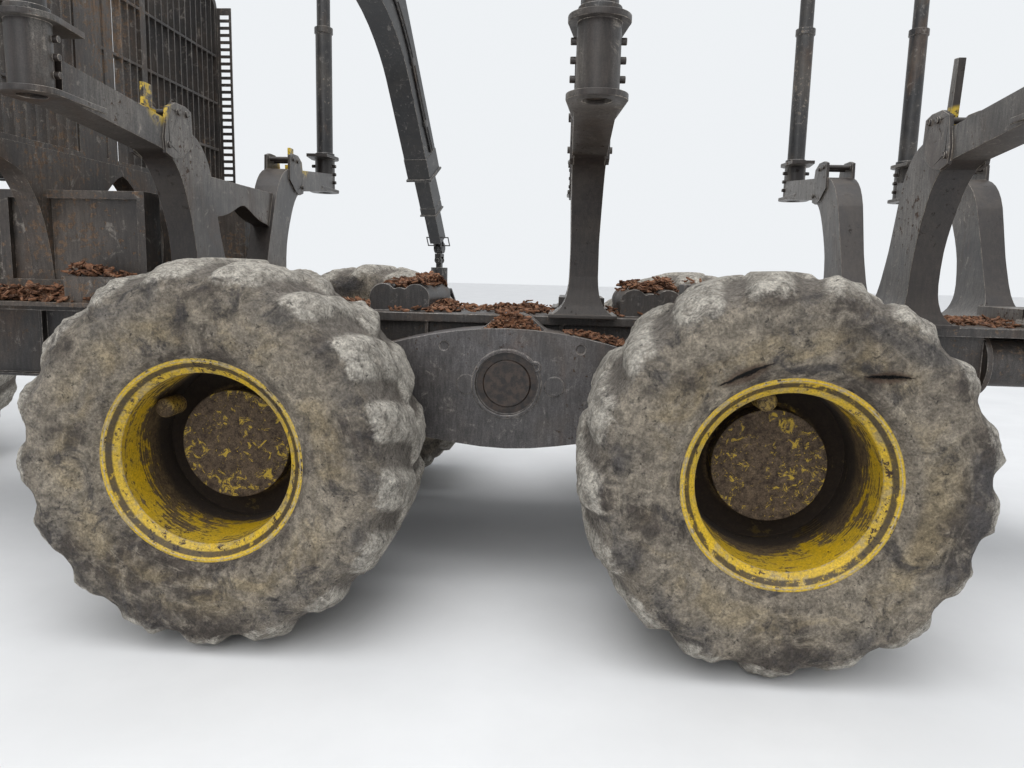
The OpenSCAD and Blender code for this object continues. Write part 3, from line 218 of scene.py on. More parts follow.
class FinishTree(Nodes):
    """A material under construction, with short calls for the patterns that the finishes use."""

    def __init__(self, name: str) -> None:
        """Starts a named material that ends in one principled shader.

        Args:
            name: The material's name.
        """
        self.material = bpy.data.materials.new(name)
        self.material.use_nodes = True
        super().__init__(self.material.node_tree)
        self.shader = self.node("BsdfPrincipled", {})
        self.node("OutputMaterial", {0: Wire(self, self.shader.outputs[0])})
        coords = self.node("TexCoord", {})
        self.place = Wire(self, coords.outputs["Object"])
        self.normal = Wire(self, coords.outputs["Normal"])

    def vector(self, operation: str, a: object, b: object) -> Wire:
        """One vector operation."""
        return self.out("VectorMath", {0: a, 1: b}, operation=operation)

    def mapped(self, scale: Point = (1, 1, 1), move: Point = (0, 0, 0)) -> Wire:
        """Object coordinates moved, then stretched."""
        return self.vector("MULTIPLY", self.vector("ADD", self.place, move), scale)

    def parts(self, vector: Wire) -> list[Wire]:
        """The x, y and z of a vector."""
        return [Wire(self, part) for part in self.node("SeparateXYZ", {0: vector}).outputs]

    def from_hub(self, hub: Point) -> tuple[Wire, list[Wire], Wire]:
        """Coordinates from the middle of a wheel.

        Args:
            hub: The wheel's middle in the frame.

        Returns:
            The whole vector, its x, y and z, and the distance from the axle.
        """
        local = self.mapped(move=tuple(-c for c in hub))
        x, y, z = self.parts(local)
        return local, [x, y, z], self.math("SQRT", x * x + z * z)

    def cloud(self, scale: float, detail: float = 6.0, rough: float = 0.6, twist: float = 0.0,
              where: Wire | None = None) -> Wire:
        """Fractal noise, about 0 to 1 round 0.5."""
        return self.out("TexNoise", {"Vector": where or self.place, "Scale": scale, "Detail": detail,
                                     "Roughness": rough, "Distortion": twist})

    def waves(self, where: Wire, scale: float, twist: float = 0.0) -> Wire:
        """Even waves, 0 to 1."""
        return self.out("TexWave", {"Vector": where, "Scale": scale, "Distortion": twist}, "Fac")

    def band(self, value: object, low: float, high: float) -> Wire:
        """A soft step: 0 below low and 1 above high, the other way round where low is above high.

        Args:
            value: The number that is stepped.
            low: Where the step starts.
            high: Where it ends.

        Returns:
            The step, 0 to 1.
        """
        flip = float(low > high)
        ends = {"From Min": min(low, high), "From Max": max(low, high), "To Min": flip, "To Max": 1.0 - flip}
        return self.out("MapRange", {"Value": value, **ends}, "Result", interpolation_type="SMOOTHSTEP")

    def mix(self, share: object, a: object, b: object) -> Wire:
        """Colour a, turning into colour b as the share goes from 0 to 1."""
        return self.out("Mix", {0: share, 6: a, 7: b}, 2, data_type="RGBA")

    def blend(self, share: object, a: object, b: object) -> Wire:
        """Number a, turning into number b as the share goes from 0 to 1."""
        return self.out("Mix", {0: share, 2: a, 3: b}, 0, data_type="FLOAT")

    def away(self, point: Vector) -> Wire:
        """Distance from a point of the frame."""
        return self.out("VectorMath", {0: self.place, 1: tuple(point)}, "Value", operation="DISTANCE")

    def grit(self, colour: object, grain: Wire, low: float, high: float) -> Wire:
        """A colour made darker and lighter grain by grain, between two factors."""
        return self.vector("MULTIPLY", colour, self.blend(self.band(grain, 0.30, 0.70), low, high))

    def attribute(self, name: str) -> Wire:
        """A number that a piece carries at its points."""
        return self.out("Attribute", {}, "Fac", attribute_name=name)

    def relief(self, height: object, depth: float, strength: object = 1.0, over: Wire | None = None) -> Wire:
        """A bump of a given depth in metres."""
        below = {} if over is None else {"Normal": over}
        return self.out("Bump", {"Strength": strength, "Distance": depth, "Height": height, **below})

    def finish(self, colour: object, roughness: object, normal: Wire | None = None,
               metal: float = 0.0) -> bpy.types.Material:
        """Feeds the shader and gives the material.

        Args:
            colour: The base colour.
            roughness: The roughness.
            normal: The relief, if any.
            metal: 1 for bare metal, 0 for anything else.

        Returns:
            The material.
        """
        self.feed(self.shader.inputs["Base Color"], colour)
        self.feed(self.shader.inputs["Roughness"], roughness)
        self.feed(self.shader.inputs["Metallic"], metal)
        if normal is not None:
            self.feed(self.shader.inputs["Normal"], normal)
        return self.material


class Finish:
    """What every finish does."""

    def build(self, name: str) -> bpy.types.Material:
        """The finish as a new material."""
        return self.lay(FinishTree(name))

    def lay(self, t: FinishTree) -> bpy.types.Material:
        """Lays the finish, from its ground up.

        Args:
            t: The material under construction.

        Returns:
            The same material, finished.
        """
        raise NotImplementedError


@dataclass(frozen=True)
class WornPaint(Finish):
    """Old paint on steel: chipped to metal and rust, dulled by dust that lies on what faces up.

    Attributes:
        paint: The sound paint.
        faded: The same paint where it is rubbed or bleached.
        chipped: What shows in a chip.
        chips: Share of the surface that has lost its paint, 0 to 1.
        dust: How much dry dirt lies on it, 0 to 1.
        soil: Colour of that dirt.
        gloss: Roughness of the sound paint.
        grain: Size of the pattern, 1 for a frame member.
        edge: What shows along a rubbed edge.
        bright_edges: How much of the edges is rubbed, 0 to 1.
        stain: Colour of old oil and wet bark, in wide patches.
        stains: How strong those patches are, 0 to 1.
        sideways: Colour of the painted shade on faces that look to the machine's sides.
        side_shade_share: How much of it lies there, 0 to 1.
        accents: Places with left-over yellow paint, each with its radius.
        pits: Places filled with dark mud, each with its radius.
    """

    paint: Colour
    faded: Colour
    chipped: Colour | Palette = Palette.RUST
    chips: float = 0.3
    dust: float = 0.5
    soil: Colour | Palette = Palette.DRY_MUD
    gloss: float = 0.5
    grain: float = 1.0
    edge: Colour = (0.30, 0.275, 0.25)
    bright_edges: float = 0.75
    stain: Colour = (0.058, 0.036, 0.023)
    stains: float = 0.75
    sideways: Colour = (0.019, 0.014, 0.012)
    side_shade_share: float = 0.0
    accents: tuple[tuple[Vector, float], ...] = ()
    pits: tuple[tuple[Vector, float], ...] = ()

    def lay(self, t: FinishTree) -> bpy.types.Material:
        """The material, from the sound paint up to the dust."""
        g = self.grain
        wide = t.cloud(1.6 * g, 5, 0.6, 0.4)
        fine = t.cloud(34 * g, 8, 0.72)
        streak = t.cloud(7 * g, 6, 0.65, 0.2, t.mapped((1.0, 1.0, 0.16)))
        base = t.mix(t.band(wide, 0.35, 0.68), self.paint, self.faded)
        base = t.mix(t.band(streak, 0.52, 0.75) * 0.45, base, self.faded)
        stain = t.cloud(2.3 * g, 8, 0.7, 0.8, t.mapped((1.0, 1.0, 0.55), (3.1, 1.7, 0.4)))
        base = t.mix(t.band(stain, 0.50, 0.66) * self.stains, base, self.stain)
        scuff = t.band(t.cloud(13 * g, 9, 0.75, 1.2), 0.56, 0.66)
        base = t.mix(scuff * 0.35, base, self.edge)
        sound = 0.70 - 0.20 * self.chips
        chip = t.band(fine + (wide - 0.5) * 0.55, sound, sound + 0.035)
        base = t.mix(chip, base, self.chipped)
        rubbed = t.band(t.attribute("edge") + (fine - 0.5) * 2.6, 0.50, 0.85)
        base = t.mix(rubbed * self.bright_edges, base, self.edge)
        along, across, up = t.parts(t.normal)
        # Painted shade: a near-black laid on faces that look to the machine's sides.
        if self.side_shade_share:
            over = abs(across) - abs(along) + (wide - 0.5) * 0.8
            base = t.mix(t.band(over, -0.1, 0.4) * self.side_shade_share, base, self.sideways)
        base = t.grit(base, t.cloud(70 * g, 5, 0.75, 0.0, t.mapped((1.0, 1.0, 0.14))), 0.62, 1.45)
        base = t.grit(base, t.cloud(190 * g, 4, 0.8), 0.60, 1.45)
        for point, radius in self.accents:
            left = t.band(t.away(point) + (wide - 0.5) * 0.08, radius, radius * 0.7)
            base = t.mix(left * t.band(fine, 0.56, 0.48), base, Palette.LEFT_YELLOW)
        patch = t.band(t.cloud(3.1 * g, 9, 0.68, 0.6), 0.42, 0.66)
        soil = t.math("MULTIPLY", (t.band(up, 0.25, 0.95) * 0.75 + 0.28) * patch, self.dust, clamp=True)
        base = t.mix(soil, base, self.soil)
        for point, radius in self.pits:
            loam = t.mix(t.band(fine, 0.4, 0.6), Palette.LOAM_DARK, Palette.LOAM_PALE)
            base = t.mix(t.band(t.away(point), radius, radius - 0.012), base, loam)
        rough = t.blend(soil, t.blend(chip, self.gloss, 0.85), 0.95)
        low = t.relief(chip * -1.0, 0.0012, 0.6)
        return t.finish(base, rough, t.relief(t.cloud(60 * g, 6, 0.7), 0.0015, 0.35, low))


@dataclass(frozen=True)
class Slit:
    """A cut in a side wall.

    Attributes:
        turn: Angle from straight down, degrees, towards the front.
        radius: Distance from the hub.
        length: Length along the wall.
        lean: How much it climbs outwards over its length.
    """

    turn: float
    radius: float
    length: float
    lean: float

    def masks(self, t: FinishTree, place: list[Wire], ragged: Wire) -> tuple[Wire, Wire]:
        """The open gap, and the torn rubber round it.

        Args:
            t: The material under construction.
            place: Coordinates from the hub.
            ragged: Noise that frays the edges.

        Returns:
            Two masks, 0 to 1.
        """
        x, y, z = place
        c, s = math.cos(math.radians(self.turn)), math.sin(math.radians(self.turn))
        share = (x * c + z * s) * (2 / self.length)
        line = share * (self.lean / 2) + self.radius
        away = abs(x * s - z * c - line + (ragged - 0.5) * 0.022)
        width = 1.0 - share * share
        outside = t.band(y, 0.10, 0.16)
        gap = t.band(width * 0.0085 - away, 0.0, 0.003)
        torn = t.band(width * 0.034 - away, 0.0, 0.020)
        return gap * outside, torn * outside


@dataclass(frozen=True)
class MuddyTyre(Finish):
    """A worn forestry tyre: pale dry tread, brown mud and dark scuffs on its side walls.

    Attributes:
        hub: Middle of the wheel in the frame.
        seed: Moves the pattern, so that no two tyres match.
        tread_radius: Where the side wall gives way to the tread.
        slits: Cuts in the outer wall.
    """

    hub: Point
    seed: float
    tread_radius: float
    slits: tuple[Slit, ...] = ()

    def lay(self, t: FinishTree) -> bpy.types.Material:
        """The material, whose zones follow the distance from the hub."""
        _, place, radius = t.from_hub(self.hub)
        own = t.mapped(move=(self.seed, -self.seed, self.seed * 0.5))
        mid = t.cloud(11, 8, 0.68, 0.8, own)
        fine = t.cloud(75, 7, 0.75, 0.0, own)
        crust = t.cloud(28, 8, 0.7, 1.2, own)
        crown = t.band(radius, self.tread_radius - 0.06, self.tread_radius + 0.035)
        crown = crown + (mid - 0.5) * 1.3 + (crust - 0.5) * 0.8
        wall, tread = self.wall(t, place, radius, own, mid), self.tread(t, own, mid, crust)
        colour = t.mix(t.band(crown, 0.22, 0.80), wall, tread)
        colour = t.grit(colour, t.cloud(120, 4, 0.7, 0.0, own), 0.66, 1.34)
        colour = t.mix(t.band(fine, 0.60, 0.72) * 0.30, colour, Palette.SPECK)
        pits = t.band(t.cloud(48, 6, 0.7, 0.3, own), 0.42, 0.32)
        colour = t.mix(pits * 0.8, colour, Palette.PIT)
        low = t.relief(crust, 0.016, 0.9)
        for slit in self.slits:
            gap, torn = slit.masks(t, place, crust)
            colour = t.mix(torn * 0.65, colour, Palette.TORN_RUBBER)
            colour = t.mix(gap, colour, Palette.OPEN_SLIT)
            low = t.relief(gap * -1.0, 0.03, 1.0, low)
        return t.finish(colour, 0.94, t.relief(fine, 0.007, 1.0, low))

    @staticmethod
    def wall(t: FinishTree, place: list[Wire], radius: Wire, own: Wire, mid: Wire) -> Wire:
        """Mud of the side wall: clay, pale streaks round the hub, an ochre ring, a dark shoulder.

        Args:
            t: The material under construction.
            place: Coordinates from the hub.
            radius: Distance from the hub.
            own: Coordinates of this tyre's patterns.
            mid: Noise of middle size.

        Returns:
            The colour.
        """
        x, y, z = place
        wide = t.cloud(3.2, 7, 0.62, 0.5, own)
        wall = t.mix(t.band(wide, 0.38, 0.58), Palette.WALL_DARK, Palette.WALL_CLAY)
        wall = t.mix(t.band(mid, 0.50, 0.66) * 0.65, wall, Palette.WALL_PALE)
        round_hub = t.out("CombineXYZ", {0: x / radius, 1: (radius + y) * 9.0, 2: z / radius})
        streak = t.cloud(2.4, 6, 0.7, 0.4, round_hub)
        wall = t.mix(t.band(streak, 0.52, 0.66) * 0.5, wall, Palette.WALL_STREAK)
        ring = t.band(radius, 0.39, 0.44) * t.band(radius, 0.58, 0.47)
        ochre = ring * t.band(t.cloud(5.5, 8, 0.66, 0.7, own), 0.40, 0.64)
        wall = t.mix(ochre * 0.6, wall, Palette.WALL_OCHRE)
        shoulder = t.band(radius, 0.50, 0.58) * t.band(radius, 0.67, 0.62)
        shoulder = shoulder * t.band(t.cloud(4.6, 8, 0.7, 0.8, own), 0.42, 0.62)
        wall = t.mix(shoulder * 0.65, wall, Palette.SHOULDER)
        dark = t.band(t.cloud(6.5, 7, 0.7, 1.0, own), 0.53, 0.66)
        wall = t.mix(dark * 0.8, wall, Palette.RUBBER)
        return t.grit(wall, t.cloud(24, 6, 0.70, 0.8, own), 0.62, 1.42)

    @staticmethod
    def tread(t: FinishTree, own: Wire, mid: Wire, crust: Wire) -> Wire:
        """Dry mud of the tread, with painted shade between the lugs.

        Args:
            t: The material under construction.
            own: Coordinates of this tyre's patterns.
            mid: Noise of middle size.
            crust: Noise of the dried crust.

        Returns:
            The colour.
        """
        tread = t.mix(t.band(mid, 0.30, 0.62), Palette.TREAD_GREY, Palette.TREAD_PALE)
        tread = t.mix(t.band(t.cloud(9, 7, 0.7, 0.6, own), 0.56, 0.70), tread, Palette.TREAD_DARK)
        # Painted shade: darker towards the feet of the lugs, in the grooves between them.
        tread = t.mix(t.band(t.attribute("lug"), 0.60, 0.05) * 0.8, tread, Palette.LUG_FOOT)
        return t.grit(tread, crust, 0.55, 1.35)


@dataclass(frozen=True)
class ChippedRim(Finish):
    """Yellow rim paint: bright and chipped on the flange, mud towards the hub, painted shade in the groove
    inside the flange and deep round the hub cap, brown hub cap.

    Attributes:
        hub: Middle of the wheel in the frame.
        side: 1 on the machine's left, -1 on its right.
        seed: Moves the pattern.
        cap_radius: Radius of the hub cap.
        face: Distance from the wheel's middle to the rim's outer face.
    """

    hub: Point
    side: int
    seed: float
    cap_radius: float = 0.212
    face: float = 0.31

    def lay(self, t: FinishTree) -> bpy.types.Material:
        """The material, whose zones follow the distance from the hub and the depth in the dish."""
        local, (_, y, z), radius = t.from_hub(self.hub)
        depth = self.face - y * float(self.side)
        own = t.mapped(move=(self.seed, self.seed * 0.7, -self.seed))
        wide = t.cloud(4.5, 7, 0.66, 0.6, own)
        fine = t.cloud(42, 8, 0.74, 0.2, own)
        rings = t.cloud(3.0, 5, 0.6, 0.0, t.vector("MULTIPLY", local, (1.5, 26.0, 1.5)))

        colour = t.mix(t.band(wide, 0.35, 0.66), Palette.RIM_YELLOW, Palette.RIM_DULL)
        chip = fine + (wide - 0.5) * 0.5
        lip = t.band(depth, 0.065, 0.03)
        colour = t.mix(t.band(chip, 0.555, 0.60), colour, Palette.RIM_RUST)
        pale = lip * t.band(t.cloud(16, 8, 0.7, 0.5, own), 0.48, 0.62)
        colour = t.mix(pale * 0.75, colour, Palette.RIM_PALE)
        bare = t.attribute("edge") + (fine - 0.5) * 3.0
        colour = t.mix(t.band(bare, 0.6, 0.9) * lip, colour, Palette.RIM_BARE)

        mud = t.band(depth, 0.10, 0.30) * 0.34 + rings * 1.15 + (wide - 0.5) * 1.5 + (fine - 0.5) * 0.9
        # Less mud towards the bottom of the dish, so the dish is browner and darker towards its top: painted
        # shade.
        mud = mud - t.band(z, -0.05, -0.34) * 0.10
        share = t.band(mud, 0.54, 0.70) * (1.0 - lip)
        brown = t.mix(t.band(fine, 0.35, 0.65), Palette.DISH_DARK, Palette.DISH_BROWN)
        colour = t.mix(share, colour, brown)
        # A dark ring just inside the flange: painted shade of a groove, with mud in it.
        groove_mud_and_shade = t.band(radius, 0.327, 0.333) * t.band(radius, 0.349, 0.345)
        groove_mud_and_shade = groove_mud_and_shade * t.band(wide + fine, 0.78, 0.92) * t.band(depth, 0.08, 0.05)
        colour = t.mix(groove_mud_and_shade * 0.9, colour, Palette.PACKED_MUD)
        colour = t.grit(colour, t.cloud(130, 5, 0.78, 0.0, own), 0.62, 1.3)
        # Painted shade: near-black deep in the dish, round the hub cap.
        black = t.band(depth, 0.25, 0.315) * t.band(radius, self.cap_radius, self.cap_radius + 0.02)
        colour = t.mix(black * 0.88, colour, Palette.DISH_BLACK)

        cap = t.band(radius, self.cap_radius + 0.004, self.cap_radius - 0.004)
        fleck = t.cloud(26, 9, 0.78, 1.0, own) + wide * 0.25
        brown = t.mix(t.band(fine, 0.3, 0.7), Palette.CAP_DARK, Palette.CAP_BROWN)
        brown = t.grit(brown, t.cloud(150, 5, 0.8, 0.0, own), 0.45, 1.6)
        colour = t.mix(cap, colour, t.mix(t.band(fleck, 0.675, 0.725), brown, Palette.CAP_YELLOW))

        rough = t.blend(share, t.blend(t.band(chip, 0.60, 0.64), 0.48, 0.85), 0.92)
        low = t.relief(t.cloud(30, 8, 0.72, 0.8, own), 0.006, t.blend(cap, 0.5, 1.0))
        return t.finish(colour, t.blend(cap, rough, 0.9), t.relief(fine, 0.003, 0.8, low))


@dataclass(frozen=True)
class TintedGlass(Finish):
    """Cab glass, tinted, with a little dust."""

    tint: Colour = (0.66, 0.72, 0.72)
    clear: float = 0.92
    bending: float = 1.12

    def lay(self, t: FinishTree) -> bpy.types.Material:
        """The material, from its ground up."""
        dust = t.band(t.cloud(2.2, 7, 0.7, 0.5), 0.45, 0.75)
        t.feed(t.shader.inputs["Transmission Weight"], self.clear)
        t.feed(t.shader.inputs["IOR"], self.bending)
        t.feed(t.shader.inputs["Specular IOR Level"], 1.0)
        return t.finish(t.mix(dust * 0.35, self.tint, Palette.GLASS_DUST), t.blend(dust, 0.0, 0.04))


@dataclass(frozen=True)
class LampGlass(Finish):
    """Fluted lamp glass over a bright reflector."""

    flutes: float = 34

    def lay(self, t: FinishTree) -> bpy.types.Material:
        """The material, from its ground up."""
        flutes = t.waves(t.mapped((0, 1, 0)), self.flutes)
        dust = t.band(t.cloud(9, 6), 0.4, 0.7)
        colour = t.mix(dust * 0.4, Palette.REFLECTOR, Palette.LAMP_DUST)
        return t.finish(colour, t.blend(dust, 0.08, 0.45), t.relief(flutes, 0.002, 0.7), 0.6)


@dataclass(frozen=True)
class ChromeRod(Finish):
    """Hard chrome of a cylinder rod, with fine scratches along it and a film of oil."""

    def lay(self, t: FinishTree) -> bpy.types.Material:
        """The material, from its ground up."""
        scratch = t.cloud(120, 5, 0.6)
        colour = t.mix(t.band(t.cloud(5, 5), 0.4, 0.7), Palette.CHROME, Palette.OILY_CHROME)
        return t.finish(colour, t.blend(scratch, 0.12, 0.30), t.relief(scratch, 0.0003, 0.2), 1.0)


@dataclass(frozen=True)
class Moulded(Finish):
    """Grained plastic or rubber with light dust.

    Attributes:
        colour: The moulding's colour.
        dust: How much dust lies on it.
        roughness: Its roughness where clean.
    """

    colour: Colour
    dust: float = 0.3
    roughness: float = 0.6

    def lay(self, t: FinishTree) -> bpy.types.Material:
        """The material, from its ground up."""
        grain = t.out("TexVoronoi", {"Vector": t.place, "Scale": 420}, "Distance", feature="F1")
        patch = t.band(t.cloud(2.6, 8, 0.68, 0.5), 0.40, 0.72) * self.dust
        up = t.band(t.parts(t.normal)[2], 0.3, 0.95) * self.dust
        soil = t.math("ADD", patch, up * 0.5, clamp=True)
        colour = t.mix(soil, self.colour, Palette.DRY_MUD)
        return t.finish(colour, t.blend(soil, self.roughness, 0.9), t.relief(grain, 0.0006, 0.4))


@dataclass(frozen=True)
class WovenCloth(Finish):
    """Seat cloth: a fine two-way weave."""

    yarn: Colour = (0.035, 0.036, 0.040)
    light: Colour = (0.085, 0.085, 0.092)
    threads: float = 180

    def lay(self, t: FinishTree) -> bpy.types.Material:
        """The material, from its ground up."""
        warp, weft = (t.waves(t.mapped(stretch), self.threads, 0.6) for stretch in ((1, 0, 0), (0, 1, 1)))
        weave = warp * weft
        t.feed(t.shader.inputs["Sheen Weight"], 0.35)
        worn = t.band(t.cloud(6, 6), 0.45, 0.7)
        colour = t.mix(t.math("ADD", weave, worn * 0.3, clamp=True), self.yarn, self.light)
        return t.finish(colour, 0.9, t.relief(weave, 0.001, 0.5))


@dataclass(frozen=True)
class Litter(Finish):
    """Bark and needles that lie on the frame."""

    def lay(self, t: FinishTree) -> bpy.types.Material:
        """The material, from its ground up."""
        colour = t.mix(t.band(t.cloud(38, 3, 0.6), 0.36, 0.64), Palette.BARK_DARK, Palette.BARK_RED)
        colour = t.mix(t.band(t.cloud(95, 3), 0.60, 0.70), colour, Palette.BARK_INSIDE)
        return t.finish(colour, 0.95, t.relief(t.cloud(260, 4), 0.002, 0.6))


# Paints of this machine: sound paint, faded paint, what shows in a chip, and what differs from the usual
FINISHES = {
    "frame_black": WornPaint((0.022, 0.020, 0.020), (0.052, 0.046, 0.042), (0.120, 0.085, 0.060),
                             chips=0.40, dust=0.7, soil=(0.125, 0.092, 0.065)),
    "bunk_steel": WornPaint((0.040, 0.036, 0.034), (0.150, 0.136, 0.120), (0.060, 0.032, 0.020),
                            chips=0.30, dust=0.4, soil=(0.155, 0.125, 0.095), gloss=0.40,
                            edge=(0.42, 0.37, 0.31), side_shade_share=1.0,
                            accents=((at(-2.08, 0.86, 1.99), 0.13), (at(-2.08, -0.86, 1.99), 0.13),
                                     (at(-5.30, 0.66, 1.985), 0.06))),
    "bogie_steel": WornPaint((0.044, 0.040, 0.039), (0.098, 0.092, 0.094), (0.040, 0.023, 0.015),
                             chips=0.50, dust=0.5, soil=(0.140, 0.108, 0.080), gloss=0.42,
                             stain=(0.075, 0.045, 0.032),
                             pits=tuple((at(x, side * 0.69, 0.87), 0.137)
                                        for x in (-3.555, 1.60) for side in (-1, 1))),
    "gate_steel": WornPaint((0.022, 0.019, 0.018), (0.068, 0.056, 0.047), (0.130, 0.085, 0.055),
                            chips=0.6, dust=0.5, soil=(0.135, 0.095, 0.065), edge=(0.40, 0.36, 0.31),
                            bright_edges=0.9),
    "stake_black": WornPaint((0.012, 0.012, 0.013), (0.036, 0.034, 0.033), (0.20, 0.17, 0.14),
                             chips=0.40, dust=0.35, gloss=0.38, grain=1.4),
    "crane_black": WornPaint((0.006, 0.006, 0.007), (0.015, 0.015, 0.016), (0.12, 0.10, 0.085),
                             chips=0.15, dust=0.14, gloss=0.32, stains=0.4, stain=(0.010, 0.008, 0.007)),
    "body_yellow": WornPaint((0.66, 0.43, 0.020), (0.60, 0.42, 0.070), (0.085, 0.045, 0.022),
                             chips=0.10, dust=0.35, gloss=0.35, stains=0.12, stain=(0.30, 0.20, 0.06),
                             edge=(0.45, 0.34, 0.12), bright_edges=0.4),
    "guard_mud": WornPaint((0.34, 0.23, 0.03), (0.13, 0.09, 0.05), (0.050, 0.032, 0.018), chips=1.0,
                           dust=1.0, soil=(0.15, 0.115, 0.080), gloss=0.6, grain=3.0, stains=0.9),
    "cab_grey": WornPaint((0.040, 0.041, 0.043), (0.070, 0.069, 0.068), (0.15, 0.12, 0.10),
                          chips=0.12, dust=0.35, gloss=0.4),
    "engine_cast": WornPaint((0.050, 0.047, 0.044), (0.085, 0.075, 0.066), (0.10, 0.055, 0.030),
                             chips=0.4, dust=0.6, gloss=0.6),
    "hot_steel": WornPaint((0.11, 0.095, 0.085), (0.20, 0.16, 0.13), (0.13, 0.06, 0.03),
                           chips=0.45, dust=0.15, gloss=0.5),
    "rod_chrome": ChromeRod(),
    "cab_glass": TintedGlass(),
    "black_moulding": Moulded((0.030, 0.030, 0.031), 0.45),
    "lamp_glass": LampGlass(),
    "seat_cloth": WovenCloth(),
    "bark_litter": Litter(),
}

# Which finish each plain node takes
NODE_FINISH = {
    "frame_black": ("rear_frame", "crane_base", "centre_joint", "front_frame", "front_guard", "cab_steps"),
    "bunk_steel": ("bunks",),
    "bogie_steel": ("rear_bogies", "front_bogies"),
    "gate_steel": ("headboard",),
    "stake_black": ("stakes",),
    "crane_black": ("crane_pillar", "main_boom", "jib_boom", "extension_1", "extension_2", "tip_link",
                    "tip_hanger", "rotator_head", "grapple_jaw_a", "grapple_jaw_b", "lift_barrel",
                    "jib_barrel"),
    "body_yellow": ("hood", "cab_door"),
    "cab_grey": ("cab_shell", "cab_roof"),
    "engine_cast": ("engine_block",),
    "hot_steel": ("exhaust_stack",),
    "rod_chrome": ("lift_rod", "jib_rod"),
    "cab_glass": ("cab_glass", "door_glass"),
    "black_moulding": ("fenders", "grille", "work_lamps"),
}


class PaintShop:
    """Builds each finish once and lays it on pieces."""

    def __init__(self) -> None:
        """Starts with no finish built."""
        self.built: dict[str, bpy.types.Material] = {}

    def get(self, name: str) -> bpy.types.Material:
        """The material of a named finish.

        Args:
            name: The finish's name.

        Returns:
            Its material, built at the first call.
        """
        if name not in self.built:
            self.built[name] = FINISHES[name].build(name)
        return self.built[name]


@dataclass
class Assembly:
    """A sub-assembly.

    Attributes:
        shop: Where its finishes come from.
    """

    shop: PaintShop

    def build(self) -> list[Piece]:
        """Models the pieces, dresses them and puts them on their bodies.

        Returns:
            The new pieces.
        """
        raise NotImplementedError


# Shared ways of modelling


def select_only(*pieces: Piece) -> None:
    """Selects these pieces and no others, the first one active.

    Args:
        pieces: The pieces.
    """
    bpy.ops.object.select_all(action="DESELECT")
    for piece in pieces:
        piece.select_set(True)
    bpy.context.view_layer.objects.active = pieces[0]


def added(name: str, primitive: Callable[..., object], **options: object) -> Piece:
    """A new primitive, with its place and turn written into its mesh.

    Args:
        name: Name of the piece.
        primitive: The operator that adds it.
        options: What the operator takes.

    Returns:
        The new piece, its origin at the frame's.
    """
    bpy.ops.object.select_all(action="DESELECT")
    primitive(**options)
    piece = bpy.context.active_object
    piece.name = name
    bpy.ops.object.transform_apply(location=True, rotation=True, scale=True)
    return piece


def apply(piece: Piece, kind: str, **settings: object) -> None:
    """Puts a modifier on the active piece and applies it.

    Args:
        piece: The piece.
        kind: The modifier's type.
        settings: The modifier's options.
    """
    modifier = piece.modifiers.new(kind.lower(), kind)
    for option, value in settings.items():
        setattr(modifier, option, value)
    bpy.ops.object.modifier_apply(modifier=modifier.name)


@contextmanager
def editing(piece: Piece) -> Iterator[None]:
    """Edit mode on one piece, with all of it selected.

    Args:
        piece: The piece.
    """
    select_only(piece)
    bpy.ops.object.mode_set(mode="EDIT")
    bpy.ops.mesh.select_all(action="SELECT")
    yield
    bpy.ops.object.mode_set(mode="OBJECT")


def smooth(piece: Piece, angle: float = 40.0) -> Piece:
    """Smooths the shading of a piece, except at edges sharper than an angle in degrees.

    Args:
        piece: The piece.
        angle: That angle.

    Returns:
        The piece.
    """
    select_only(piece)
    bpy.ops.object.shade_smooth_by_angle(angle=math.radians(angle))
    return piece


def points_of(piece: Piece) -> np.ndarray:
    """The places of a piece's points, one row each.

    Args:
        piece: The piece.

    Returns:
        The x, y and z of every point.
    """
    flat = np.empty(len(piece.data.vertices) * 3, np.float32)
    piece.data.vertices.foreach_get("co", flat)
    return flat.reshape(-1, 3)


def move_points(piece: Piece, points: np.ndarray) -> None:
    """Writes the places of a piece's points."""
    piece.data.vertices.foreach_set("co", points.astype(np.float32).ravel())
    piece.data.update()


def mark_points(piece: Piece, name: str, values: np.ndarray) -> None:
    """Gives a number to each point, which a finish can read."""
    mark = piece.data.attributes.new(name, "FLOAT", "POINT")
    mark.data.foreach_set("value", values.astype(np.float32))


def surface(node: str) -> BVHTree:
    """The surface of a node, to be met by rays."""
    mesh = frame["nodes"][node].data
    return BVHTree.FromPolygons([v.co for v in mesh.vertices], [p.vertices for p in mesh.polygons])


def tube(name: str, points: list[Vector], radius: float, closed: bool = False) -> Piece:
    """A round bar, pipe or moulding along a path, with its bends rounded.

    Args:
        name: Name of the piece.
        points: The path in the frame.
        radius: Half its thickness.
        closed: Whether the path runs back to its start.

    Returns:
        The new piece, a mesh.
    """
    path = added(name, bpy.ops.curve.primitive_nurbs_path_add).data
    path.splines.clear()
    spline = path.splines.new("NURBS")
    spline.points.add(len(points) - 1)
    for knot, point in zip(spline.points, points):
        knot.co = (*point, 1.0)
    spline.use_cyclic_u, spline.use_endpoint_u = closed, not closed
    spline.order_u, spline.resolution_u = 3, 5
    path.bevel_depth, path.bevel_resolution, path.use_fill_caps = radius, 3, not closed
    bpy.ops.object.convert(target="MESH")
    return smooth(bpy.context.active_object)


def bar(name: str, points: list[Point], radius: float) -> Piece:
    """A tube whose path is measured from the steering joint."""
    return tube(name, [at(*point) for point in points], radius)


